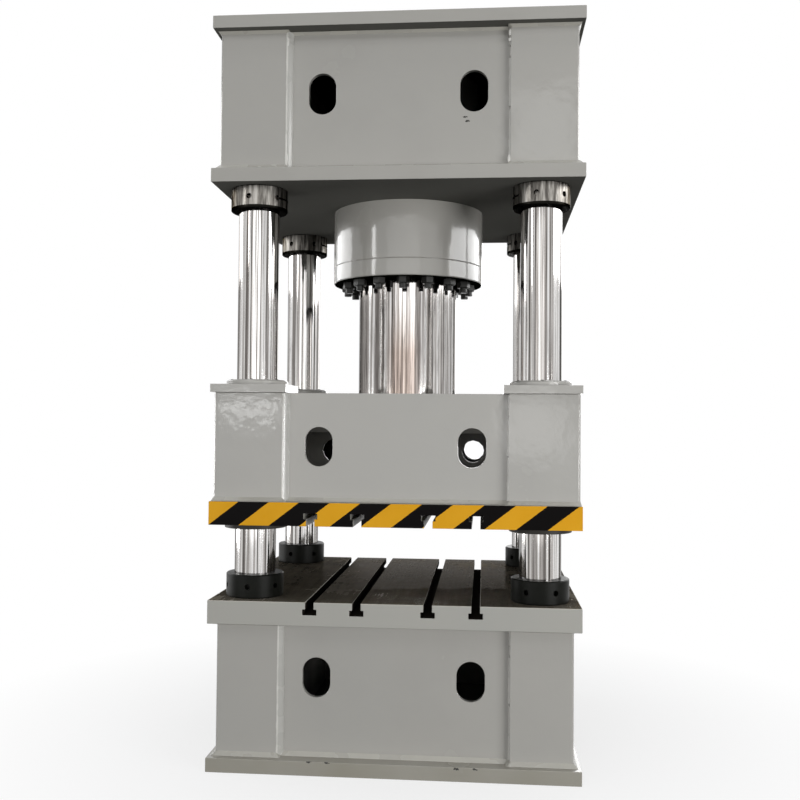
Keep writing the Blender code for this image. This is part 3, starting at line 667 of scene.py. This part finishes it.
def hazard_stripes():
    """Masked yellow and black enamel on the slide plate's front and rear, grey on the rest."""
    material, add, plug, place = new_finish(
        "hazard_enamel", IOR=FILM_IOR, Specular_IOR_Level=0.04)
    low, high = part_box("slide_plate")
    x, y, z = add("SeparateXYZ", place).outputs
    ragged = add("TexNoise", place, Scale=per(14 * MM), Detail=3)
    start = STRIPE_START - STRIPE_WANDER / 2
    wander = add("Math", ragged, STRIPE_WANDER, start, operation="MULTIPLY_ADD")
    drop = add("Math", high.z, z, operation="SUBTRACT")
    lean = add("Math", drop, STRIPE_LEAN, x, operation="MULTIPLY_ADD")
    run = add("Math", lean, wander, operation="ADD")
    count = add("Math", run, STRIPE_WIDTH, operation="DIVIDE")
    pair = add("Math", count, 2, operation="FLOORED_MODULO")
    black = add("Math", pair, 1, operation="LESS_THAN")
    before_end = add("Math", count, LAST_BLACK_STRIPE, operation="LESS_THAN")
    black = add("Math", black, before_end, operation="MULTIPLY")
    fade = add("TexNoise", place, Scale=per(160 * MM), Detail=4)
    yellow = add("MixRGB", fade, "#DB9D1E", "#E9AD2C")
    stripes = add("MixRGB", black, yellow, "#080606")
    inner_y = within(add, y, high.y - STRIPE_DEPTH)
    grey = add("MixRGB", fade, "#8F8D86", "#A3A199")
    at_foot = add("Math", z, low.z + PAINT_MARGIN, operation="LESS_THAN")
    steel = add("MixRGB", at_foot, grey, "#6B665E")
    colour = add("MixRGB", inner_y, stripes, steel)
    under = add("Math", upward(add), -FACING, operation="LESS_THAN")
    rough = add("Math", fade, 0.25, 0.2, operation="MULTIPLY_ADD")
    rough = add("Math", under, 0.25, rough, operation="MULTIPLY_ADD")
    bump = add("Bump", Height=ragged, Strength=0.3, Distance=0.25 * MM)
    plug(Base_Color=colour, Roughness=rough, Normal=bump)
    return material


# Pieces


def columns(finish_of):
    """The four columns, turned once and copied."""
    low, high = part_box("column_front_left")
    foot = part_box("bed_lock_nut_front_left")[0].z
    step = TURNED_CHAMFER
    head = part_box("crown_bottom_plate")[0].z - step
    pattern = turned("column", [
        (COLUMN_END_RADIUS - step, low.z), (COLUMN_END_RADIUS, low.z + step),
        (COLUMN_END_RADIUS, foot), (COLUMN_RADIUS, foot), (COLUMN_RADIUS, head),
        (COLUMN_END_RADIUS, head), (COLUMN_END_RADIUS, high.z - step),
        (COLUMN_END_RADIUS - step, high.z),
    ], closed=False)
    for corner in CORNERS:
        node = f"column_{corner}"
        piece = copied(pattern, f"chromed_{node}", corner_place(node))
        finished(piece, finish_of[corner], "frame", "hard_chrome", node)
    bpy.data.objects.remove(pattern)


def spanner_holes(radius, height, turn):
    """Cutters for the holes that go into a round nut from its side."""
    middle = radius - SPANNER_HOLE_DEPTH / 2 + SPANNER_HOLE_RADIUS
    cutters = []
    for place, angle in on_circle(SPANNER_HOLE_COUNT, middle, turn, height):
        deselect()
        bpy.ops.mesh.primitive_cylinder_add(
            vertices=HOLE_STEPS, radius=SPANNER_HOLE_RADIUS, location=place,
            depth=SPANNER_HOLE_DEPTH + 2 * SPANNER_HOLE_RADIUS, rotation=(0, math.pi / 2, angle))
        cutters.append(settle("spanner_hole", edit=False))
    return joined("spanner_holes", cutters)


def lock_nuts(prefix, turns_deg, sawn, finish, slot):
    """Four round nuts, each with its own turn of spanner holes."""
    low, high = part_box(f"{prefix}_front_left")
    radius = (high.x - low.x) / 2
    middle = (low.z + high.z) / 2
    for corner, turn_deg in zip(CORNERS, turns_deg):
        node = f"{prefix}_{corner}"
        place = corner_place(node)
        nut = turned(f"round_{node}", ring_profile(NUT_BORE, radius, low.z, high.z, NUT_CHAMFER))
        cut(nut, spanner_holes(radius, middle, math.radians(turn_deg) - math.pi / 2))
        if sawn:
            inner = -math.copysign(1, place.x)
            ends = sorted((inner * (radius - SAW_DEPTH), inner * (radius + SAW_DEPTH)))
            kerf = block("kerf", (ends[0], -radius, middle - SAW_KERF / 2),
                         (ends[1], radius, middle + SAW_KERF / 2))
            cut(nut, kerf)
        nut.data.transform(Matrix.Translation(place))
        finished(round_edges(nut, NUT_ROUNDING, 1), finish, "frame", slot, node)


def guides(bush_finish, ring_finish, screw_finish):
    """Flanged bushes and the screwed wiper rings over them."""
    low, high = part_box("guide_bush_front_left")
    flange = (high.x - low.x) / 2
    flange_top = low.z + BUSH_FLANGE_THICKNESS
    step = TURNED_CHAMFER
    bush = turned("bush", [
        (RUNNING_BORE, low.z), (flange - step, low.z), (flange, low.z + step),
        (flange, flange_top), (BUSH_RADIUS, flange_top), (BUSH_RADIUS, high.z),
        (RUNNING_BORE, high.z),
    ])
    low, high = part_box("wiper_ring_front_left")
    outside = (high.x - low.x) / 2
    ring = turned("ring", [
        (RUNNING_BORE, low.z), (outside, low.z), (outside, high.z - WIPER_CHAMFER),
        (outside - WIPER_CHAMFER, high.z), (RUNNING_BORE + WIPER_LIP, high.z),
        (RUNNING_BORE, high.z - WIPER_LIP),
    ])
    seat = high.z - WIPER_SCREW_SINK
    screws = []
    for place, _ in on_circle(WIPER_SCREW_COUNT, WIPER_SCREW_CIRCLE, math.pi / WIPER_SCREW_COUNT):
        screw = socket_screw(WIPER_SCREW_RADIUS, seat, seat + WIPER_SCREW_HEIGHT,
                             WIPER_SCREW_SOCKET)
        screw.data.transform(Matrix.Translation(place))
        screws.append(screw)
    screws = joined("ring_screws", screws)
    for corner in CORNERS:
        node = f"guide_bush_{corner}"
        place = corner_place(node)
        finished(copied(bush, f"turned_{node}", place), bush_finish, "slide", "cast_iron", node)
        node = f"wiper_ring_{corner}"
        finished(copied(ring, f"turned_{node}", place), ring_finish, "slide", "grey_enamel", node)
        finished(copied(screws, f"screws_{node}", place), screw_finish, "slide", "black_oxide")
    for pattern in (bush, ring, screws):
        bpy.data.objects.remove(pattern)


def socket_screw(radius, low, high, socket):
    """The head of a socket screw, with its hexagon socket."""
    head = turned("screw", [(radius, low), (radius, high - SCREW_CHAMFER),
                            (radius - SCREW_CHAMFER, high)], SMALL_STEPS, closed=False)
    deselect()
    bpy.ops.mesh.primitive_cylinder_add(vertices=6, radius=socket, depth=high - low,
                                        location=(0, 0, high))
    cut(head, settle("socket", edit=False))
    return tidy_mesh(head)


def cylinder(enamel, inside_shade, gland_underside_shade, nut_finish):
    """The barrel, the gland ring, the nuts on its studs; neck and gland underside painted dark as
    shade.
    """
    low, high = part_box("cylinder_barrel")
    radius = (high.x - low.x) / 2
    step = CYLINDER_CHAMFER
    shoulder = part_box("crown_bottom_plate")[0].z
    barrel = turned("bored_cylinder_barrel", [
        (CENTRE_RADIUS, CYLINDER_BORE_TOP), (CYLINDER_BORE_RADIUS, CYLINDER_BORE_TOP),
        (CYLINDER_BORE_RADIUS, low.z), (radius - SEAM_CHAMFER, low.z),
        (radius, low.z + SEAM_CHAMFER), (radius, shoulder - SEAT_GAP),
        (CYLINDER_NECK_RADIUS, shoulder - SEAT_GAP), (CYLINDER_NECK_RADIUS, high.z - step),
        (CYLINDER_NECK_RADIUS - step, high.z), (CENTRE_RADIUS, high.z),
    ], closed=False)
    finished(barrel, enamel, "frame", "grey_enamel", "cylinder_barrel")
    # Painted shade: the neck inside the crown takes the near-black inside finish
    second_finish(barrel, inside_shade, lambda face: face.calc_center_median().z > shoulder)
    gland = turned("bored_gland_ring", [
        (GLAND_BORE, GLAND_FACE), (radius - step, GLAND_FACE), (radius, GLAND_FACE + step),
        (radius, GLAND_TOP - SEAM_CHAMFER), (radius - SEAM_CHAMFER, GLAND_TOP),
        (GLAND_BORE, GLAND_TOP),
    ])
    finished(gland, enamel, "frame", "grey_enamel", "cylinder_gland")
    # Painted shade: the gland's underside takes a flat black finish
    second_finish(gland, gland_underside_shade, lambda face: face.calc_center_median().z < GLAND_FACE + step / 4)
    base = GLAND_FACE - HEX_HEIGHT
    nut = turned("hexagon", [
        (HEX_CORNER_RADIUS - HEX_CHAMFER, base), (HEX_CORNER_RADIUS, base + HEX_CHAMFER),
        (HEX_CORNER_RADIUS, GLAND_FACE), (STUD_RADIUS, GLAND_FACE),
    ], 6, closed=False)
    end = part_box("cylinder_gland")[0].z
    stud = turned("stud", [
        (STUD_RADIUS - STUD_CHAMFER, end), (STUD_RADIUS, end + STUD_CHAMFER),
        (STUD_RADIUS, base + STUD_LAP),
    ], SMALL_STEPS, closed=False)
    pattern = joined("stud_nut", [nut, stud])
    studs = [copied(pattern, "placed_stud_nut", place, turn)
             for place, turn in on_circle(STUD_COUNT, STUD_CIRCLE_RADIUS, math.pi / 2)]
    bpy.data.objects.remove(pattern)
    studs = tidy_mesh(joined("gland_stud_nuts", studs), HEX_SMOOTH_ANGLE)
    finished(studs, nut_finish, "frame", "grey_enamel", "cylinder_gland")


def ram_and_clamp(chrome, oxide):
    """The ram, and the screwed ring that holds its foot on the slide."""
    low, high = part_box("ram")
    piston = (high.x - low.x) / 2
    step = TURNED_CHAMFER
    foot_top = low.z + RAM_FOOT_HEIGHT
    ram = turned("ground_ram", [
        (RAM_FOOT_RADIUS, low.z), (RAM_FOOT_RADIUS, foot_top), (RAM_RADIUS, foot_top),
        (RAM_RADIUS, PISTON_BASE), (piston - step, PISTON_BASE), (piston, PISTON_BASE + step),
        (piston, high.z - step), (piston - step, high.z),
    ], closed=False)
    finished(ram, chrome, "slide", "hard_chrome", "ram")
    low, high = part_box("ram_clamp_ring")
    outside = (high.x - low.x) / 2
    foot_top = low.z + RAM_FOOT_HEIGHT + SEAT_GAP
    foot_bore = RAM_FOOT_RADIUS + SEAT_GAP
    ring = turned("turned_ram_clamp_ring", [
        (foot_bore, low.z), (outside, low.z), (outside, high.z - CLAMP_CHAMFER),
        (outside - CLAMP_CHAMFER, high.z), (RAM_RADIUS + SEAT_GAP, high.z),
        (RAM_RADIUS + SEAT_GAP, foot_top), (foot_bore, foot_top),
    ])
    finished(ring, oxide, "slide", "black_oxide", "ram_clamp_ring")
    pattern = socket_screw(CLAMP_SCREW_RADIUS, high.z, high.z + CLAMP_SCREW_HEIGHT,
                           CLAMP_SCREW_SOCKET)
    circle = (outside + RAM_FOOT_RADIUS) / 2
    screws = [copied(pattern, "placed_screw", place, turn)
              for place, turn in on_circle(CLAMP_SCREW_COUNT, circle, math.pi / CLAMP_SCREW_COUNT)]
    bpy.data.objects.remove(pattern)
    finished(joined("clamp_screws", screws), oxide, "slide", "black_oxide")


def oval_cutter(x, height, length, y_range):
    """A cutter with half-round ends that goes through a wall."""
    deselect()
    bpy.ops.mesh.primitive_cylinder_add(
        vertices=2 * HOLE_STEPS, radius=OVAL_WIDTH / 2, depth=y_range[1] - y_range[0],
        location=(x, sum(y_range) / 2, height),
        rotation=(math.pi / 2, math.pi / (2 * HOLE_STEPS), 0))
    cutter = settle("oval")
    for side in (-1, 1):
        pick("verts", lambda vert: (vert.co.z - height) * side > 0)
        bpy.ops.transform.translate(value=(0, 0, side * (length - OVAL_WIDTH) / 2))
    close_mesh()
    return cutter


def box_walls(box, body, oval, finish, inside_finish):
    """A welded box's front and rear walls: proud corners beside a recessed panel with ovals."""
    low, high, inner, panel = box_front(box)
    step = inner + CORNER_THICKNESS
    wall = block(f"{box}_front_plating", (-step, panel, low.z),
                 (step, panel + PANEL_THICKNESS, high.z))
    for cut_x in (-inner, inner):
        bpy.ops.mesh.select_all(action="SELECT")
        bpy.ops.mesh.bisect(plane_co=(cut_x, 0, 0), plane_no=(1, 0, 0))
    pick("faces", lambda face: face.normal.y < -0.9 and abs(face.calc_center_median().x) > inner)
    for depth in (PANEL_RECESS - CORNER_THICKNESS, CORNER_THICKNESS):
        bpy.ops.mesh.extrude_region_move(TRANSFORM_OT_translate={"value": (0, -depth, 0)})
    corner_back = low.y + CORNER_THICKNESS
    for side in (-1, 1):
        pick("faces", lambda face: face.normal.x * side > 0.9
             and face.calc_center_median().y < corner_back
             and face.calc_center_median().x * side > inner + MM)
        run = (side * (high.x - step), 0, 0)
        bpy.ops.mesh.extrude_region_move(TRANSFORM_OT_translate={"value": run})
    pick("edges", lambda edge: all(abs(v.co.x) > high.x - MM and v.co.y < low.y + MM
                                   for v in edge.verts)
         and abs(edge.verts[0].co.z - edge.verts[1].co.z) > MM)
    bpy.ops.mesh.bevel(offset=WALL_EDGE_CHAMFER, segments=1, affect="EDGES")
    close_mesh()
    reach = (low.y - CORNER_THICKNESS, high.y + CORNER_THICKNESS)
    for side in (-1, 1):
        cut(wall, oval_cutter(side * OVAL_X, *oval, reach))
    round_edges(wall)
    rear = copied(wall, f"{box}_rear_plating", turn=HALF_TURN)
    for piece, end, inward in ((wall, "front", 1), (rear, "rear", -1)):
        finished(piece, finish, body, "grey_enamel", f"{box}_{end}_wall")
        # Painted shade: the wall faces inside the box take the dark inside finish
        second_finish(piece, inside_finish, lambda face: face.normal.y * inward > FACING)


def roughen(piece, share=1):
    """Divide a weld along its length and let it wander a little, as a hand-laid one does."""
    open_mesh(piece)
    for shortest, longest in WELD_EDGES:
        pick("edges", lambda edge: shortest < edge.calc_length() <= longest)
        length = max((edge.calc_length() for edge in bmesh.from_edit_mesh(piece.data).edges
                      if edge.select), default=0)
        if length:
            bpy.ops.mesh.subdivide(number_cuts=int(length / BEAD_PITCH))
    close_mesh()
    waves = bpy.data.textures.new("weld_waves", "CLOUDS")
    waves.noise_scale = WELD_WAVE_LENGTH
    waves.noise_depth = 1
    apply_modifier(piece, "weld_waves", "DISPLACE", texture=waves, strength=share * WELD_WAVE,
                   mid_level=0.5, texture_coords="LOCAL")
    return tidy_mesh(piece, WELD_SMOOTH_ANGLE)


def fillet_ring(name, box, plate_z, leg):
    """The fillet weld round a box's walls on a plate or, with a leg below 0, under one."""
    low, high, inner, panel = box_front(box)
    width = abs(leg)
    inner -= width
    half_x = high.x + width
    half_y = width - low.y
    recess = width - panel
    deselect()
    bpy.ops.mesh.primitive_plane_add(size=2, location=(0, 0, plate_z))
    ring = settle(name)
    bpy.ops.mesh.select_all(action="SELECT")
    bpy.ops.transform.resize(value=(half_x, half_y, 1), center_override=(0, 0, plate_z))
    for point, normal in (((inner, 0, 0), (1, 0, 0)), ((-inner, 0, 0), (1, 0, 0)),
                          ((0, recess, 0), (0, 1, 0)), ((0, -recess, 0), (0, 1, 0))):
        bpy.ops.mesh.select_all(action="SELECT")
        bpy.ops.mesh.bisect(plane_co=point, plane_no=normal)
    pick("faces", lambda face: abs(face.calc_center_median().x) < inner
         and abs(face.calc_center_median().y) > recess)
    bpy.ops.mesh.delete(type="FACE")
    bpy.ops.mesh.select_all(action="SELECT")
    bpy.ops.mesh.dissolve_limited(angle_limit=math.radians(1))
    bpy.ops.mesh.select_all(action="SELECT")
    bpy.ops.mesh.inset(thickness=width, depth=leg)
    bpy.ops.mesh.delete(type="ONLY_FACE")
    crest = plate_z + leg
    pick("edges", lambda edge: all(abs(v.co.z - crest) < MM / 10 for v in edge.verts))
    bpy.ops.mesh.extrude_edges_move(TRANSFORM_OT_translate={"value": (0, 0, -leg)})
    pick("edges", lambda edge: edge.is_boundary)
    bpy.ops.mesh.bridge_edge_loops()
    close_mesh()
    return ring


def step_fillet(name, box):
    """The broad, dressed fillet up the left step of a box's front."""
    low, high, inner, panel = box_front(box)
    fillet = block(name, (-inner - MM, panel - STEP_LEG, low.z + MM),
                   (-inner + STEP_LEG, panel + MM, high.z - MM))
    pick("edges", lambda edge: all(v.co.x > -inner + STEP_LEG - MM
                                   and v.co.y < panel - STEP_LEG + MM for v in edge.verts))
    bpy.ops.mesh.bevel(offset=STEP_LEG - MM, segments=4, profile=DRESSED_HOLLOW, affect="EDGES")
    close_mesh()
    return fillet


def step_bead(name, box):
    """The thin hand-laid bead up the right step of a box's front, and the left fillet's toe."""
    low, high, inner, panel = box_front(box)
    height = high.z - low.z
    # Painted highlight: a thin light bead along the left fillet's toe
    toe = (0.01, 0.99, TOE_SHARE, -inner + MM, low.y + TOE_SHARE * STEP_BEAD_RADIUS)
    runs = []
    for start, end, width, x, y in [(*run, inner, panel) for run in BEAD_RUNS] + [toe]:
        deselect()
        bpy.ops.mesh.primitive_cylinder_add(
            vertices=BEAD_SIDES, radius=STEP_BEAD_RADIUS * width, depth=(end - start) * height,
            location=(x, y, low.z + (start + end) / 2 * height))
        runs.append(settle("bead_run", edit=False))
    return joined(name, runs)


def weld_ends(name, box):
    """Lumps where the step welds start and stop."""
    low, high, inner, _ = box_front(box)
    y = low.y + LUMP_SINK + LUMP_DEPTH / 2
    lumps = []
    for side, inset, rise, length in END_LUMPS:
        deselect()
        place = (side * (inner - inset), y, rise + (low.z if rise > 0 else high.z))
        bpy.ops.mesh.primitive_uv_sphere_add(segments=16, ring_count=10, radius=1, location=place,
                                             scale=(LUMP_RADIUS, LUMP_DEPTH, length))
        lumps.append(settle("lump", edit=False))
    return joined(name, lumps)


def box_welds(box, body, finishes, foot, head=None, leg=WELD_LEG, waves=1):
    """All the visible welds of one box: up its steps, and at its foot and head."""
    fillet_finish, bead_finish, step_finish = finishes
    lumps = [weld_ends("ends", box)] if box == "crown" else []
    beads = joined(f"{box}_step_beads_front", [step_bead("bead", box)] + lumps)
    broad = step_fillet(f"{box}_step_fillet_front", box)
    for piece, share, finish in ((beads, BEAD_WAVES, bead_finish),
                                 (broad, DRESSED_WAVES, step_finish)):
        roughen(piece, share)
        rear = copied(piece, piece.name.replace("front", "rear"), turn=HALF_TURN)
        finished(piece, finish, body, "grey_enamel")
        finished(rear, finish, body, "grey_enamel")
    rings = [fillet_ring(f"{box}_foot_fillet", box, foot, leg)]
    if head is not None:
        rings.append(fillet_ring(f"{box}_head_fillet", box, head, -HEAD_LEG))
    welds = roughen(joined(f"{box}_fillets", rings), waves)
    if box == "slide":
        open_mesh(welds)
        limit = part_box("slide_plate")[1].x - MM
        for side in (-1, 1):
            pick("verts", lambda vert: vert.co.x * side > limit)
            bpy.ops.transform.translate(value=(-side * (WELD_LEG - SLIDE_SIDE_LEG), 0, 0))
        close_mesh()
    finished(welds, fillet_finish, body, "grey_enamel")


def dress_node(node, finish, rounding=PLATE_ROUNDING):
    """Keep a plate's own solid, with its finish and softly broken edges."""
    piece = NODES[node]
    for place in piece.material_slots:
        place.material = finish
    weld = piece.modifiers.new("merge_corners", "WELD")
    weld.merge_threshold = MERGE_DISTANCE
    bevel = piece.modifiers.new("broken_edges", "BEVEL")
    bevel.width = rounding
    bevel.segments = 2
    bevel.limit_method = "ANGLE"
    bevel.angle_limit = SMOOTH_ANGLE
    bevel.harden_normals = True


# Studio


def seen_rays(add):
    """1 for rays that show the surroundings themselves, in view, in gloss and through glass."""
    path = add("LightPath").outputs
    seen = add("Math", path["Is Camera Ray"], path["Is Glossy Ray"], operation="ADD")
    return add("Math", seen, path["Is Transmission Ray"], operation="ADD", use_clamp=True)


def pale_world():
    """White surroundings that light the press only softly."""
    world = bpy.data.worlds.new("pale_surroundings")
    bpy.context.scene.world = world
    world.use_nodes = True
    tree = world.node_tree
    add = partial(add_node, tree)
    colour = add("MixRGB", seen_rays(add), "#6C6F73", (1, 1, 1, 1))
    link_sockets(tree, tree.nodes["Background"], Color=colour)


def pale_floor():
    """A plain pale floor that keeps the press's shadow and runs out into white."""
    deselect()
    bpy.ops.mesh.primitive_plane_add(size=FLOOR_SIZE, location=(0, 0, 0))
    floor = bpy.context.object
    floor.name = "floor"
    material, add, plug, place = new_finish("pale_floor", Roughness=0.9, Specular_IOR_Level=0)
    tree = material.node_tree
    seen = seen_rays(add)
    tone = add("MixRGB", seen, "#42413D", (0.96, 0.96, 0.96, 1))
    distance = add("VectorMath", place, operation="LENGTH").outputs["Value"]
    far = add("MapRange", distance, From_Min=FLOOR_NEAR, From_Max=FLOOR_FAR, To_Min=0.7)
    glow = add("Emission", Color=(1, 1, 1, 1), Strength=1)
    part = add("Math", far, seen, operation="MULTIPLY")
    mix = add("MixShader", part, tree.nodes["Principled BSDF"], glow)
    plug(Base_Color=tone)
    link_sockets(tree, tree.nodes["Material Output"], Surface=mix)
    floor.data.materials.append(material)


def softbox(name, place, target, size, power):
    """A large soft lamp that faces a point."""
    bpy.ops.object.light_add(type="AREA", location=place)
    lamp = bpy.context.object
    lamp.name = name
    lamp.data.shape = "RECTANGLE"
    lamp.data.size, lamp.data.size_y = size
    lamp.data.energy = power
    aim = Vector(target) - Vector(place)
    lamp.rotation_euler = aim.to_track_quat("-Z", "Y").to_euler()
    return lamp


def studio():
    """Surroundings, floor, lamps, and the panels that only gloss and chrome show."""
    deselect()
    pale_world()
    pale_floor()
    for name, setting in SOFTBOXES.items():
        softbox(name, *setting)
    for name, setting in GLOSS_PANELS.items():
        softbox(name, *setting).visible_diffuse = False


def camera():
    """The camera, a little right of the middle, turned by its yaw, pitch and roll."""
    forward = Vector((-math.sin(CAMERA_YAW) * math.cos(CAMERA_PITCH),
                      math.cos(CAMERA_YAW) * math.cos(CAMERA_PITCH), math.sin(CAMERA_PITCH)))
    level = Vector((math.cos(CAMERA_YAW), math.sin(CAMERA_YAW), 0))
    upright = level.cross(forward)
    right = math.cos(CAMERA_ROLL) * level + math.sin(CAMERA_ROLL) * upright
    up = -math.sin(CAMERA_ROLL) * level + math.cos(CAMERA_ROLL) * upright
    bpy.ops.object.camera_add()
    eye = bpy.context.object
    turn = Matrix((right, up, -forward)).transposed().to_4x4()
    eye.matrix_world = Matrix.Translation(CAMERA_PLACE) @ turn
    eye.data.lens = CAMERA_LENS
    eye.data.sensor_width = CAMERA_SENSOR
    eye.data.clip_end = CAMERA_REACH
    bpy.context.scene.camera = eye


def main():
    """Finishes and pieces, the plates that keep their own solids, and the studio."""
    enamel = gloss_enamel("gloss_enamel", PRESS_GREY)
    crown_walls = gloss_enamel("crown_wall_enamel", PRESS_GREY, chips=CROWN_SMUDGES)
    # Painted shade: near-black and dark grey finishes for what lies inside the boxes
    inside_shade = gloss_enamel("painted_inside_shade", "#1F1E1B", gloss=0.05, coat=0)
    slide_inside_shade = gloss_enamel("painted_slide_inside_shade", "#35332E", gloss=0.1, coat=0)
    # Painted highlight: the beads, their lumps and the dressed fillet are painted lighter than the
    # enamel
    welds = (weld_enamel("enamel_over_fillet", "#94928A", "#A9A69C"),
             weld_enamel("enamel_over_bead", "#B4B3AE", "#D6D4CE"),
             weld_enamel("enamel_over_dressed_fillet", "#A6A5A0", "#B4B3AE"))
    oxide = black_oxide()
    chromes = {corner: hard_chrome(f"hard_chrome_{corner}", corner_place(f"column_{corner}"),
                               COLUMN_REFLECTION_STREAKS) for corner in CORNERS}

    columns(chromes)
    lock_nuts("bed_lock_nut", BED_NUT_TURNS_DEG, False, oxide, "black_oxide")
    lock_nuts("crown_lock_nut", CROWN_NUT_TURNS_DEG, True, turned_steel(), "turned_steel")
    guides(black_oxide("cast_iron", "#2B2A28", "#45433F"), enamel, oxide)
    # Painted shade: flat black for the gland's underside
    cylinder(enamel, inside_shade, black_oxide("black_underside_shade", gloss=0),
             black_oxide("bright_black_nuts", "#0B0B09", "#1D1D19", 0.3))
    ram_and_clamp(hard_chrome("hard_chrome_ram", (0, 0, 0), RAM_REFLECTION_STREAKS, RAM_WARM_REFLECTION), oxide)
    box_walls("bed", "frame", BED_OVAL, enamel, inside_shade)
    box_walls("slide", "slide", SLIDE_OVAL, enamel, slide_inside_shade)
    box_walls("crown", "frame", CROWN_OVAL, crown_walls, inside_shade)
    box_welds("bed", "frame", welds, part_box("base_plate")[1].z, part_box("bed_table")[0].z,
              waves=BED_WAVES)
    box_welds("slide", "slide", welds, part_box("slide_plate")[1].z)
    box_welds("crown", "frame", welds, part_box("crown_bottom_plate")[1].z,
              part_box("crown_top_plate")[0].z, CROWN_FOOT_LEG, CROWN_WAVES)

    # Painted shade: the base plate is near black inside the bed
    dress_node("base_plate", gloss_enamel("base_enamel", "#827E6B", inside=(*BOX_INSIDE, 1),
                                          chips=CHIP_SPOTS))
    dress_node("bed_table", machined_table(), TABLE_ROUNDING)
    dress_node("slide_plate", hazard_stripes(), EDGE_ROUNDING)
    # Painted shade: the ribs inside the boxes take the dark inside finishes
    for box, inside in (("bed", inside_shade), ("slide", slide_inside_shade), ("crown", inside_shade)):
        for side in ("left", "right"):
            dress_node(f"{box}_side_{side}", enamel)
            dress_node(f"{box}_rib_{side}", inside, EDGE_ROUNDING)
    dress_node("crown_bottom_plate",
               gloss_enamel("matt_plate_enamel", "#B2B1AC", gloss=0.05, coat=0))
    # Painted shade: the top plate is near black inside the crown
    dress_node("crown_top_plate", gloss_enamel("crown_plate_enamel", "#AEADA8",
                                               inside=(*BOX_INSIDE, -1), gloss=0, coat=0))
    # Painted shade: the slide's seat plate and cross ribs take its dark inside finish
    dress_node("slide_seat_plate", slide_inside_shade)
    for end in ("front", "rear"):
        dress_node(f"slide_cross_rib_{end}", slide_inside_shade, EDGE_ROUNDING)
    for prefix in ("bed", "crown"):
        for corner in CORNERS:
            dress_node(f"{prefix}_tie_nut_{corner}", oxide, EDGE_ROUNDING)
    dress_node("cylinder_ring_nut", oxide)

    studio()
    camera()
    bpy.context.scene.view_settings.view_transform = "Standard"


main()
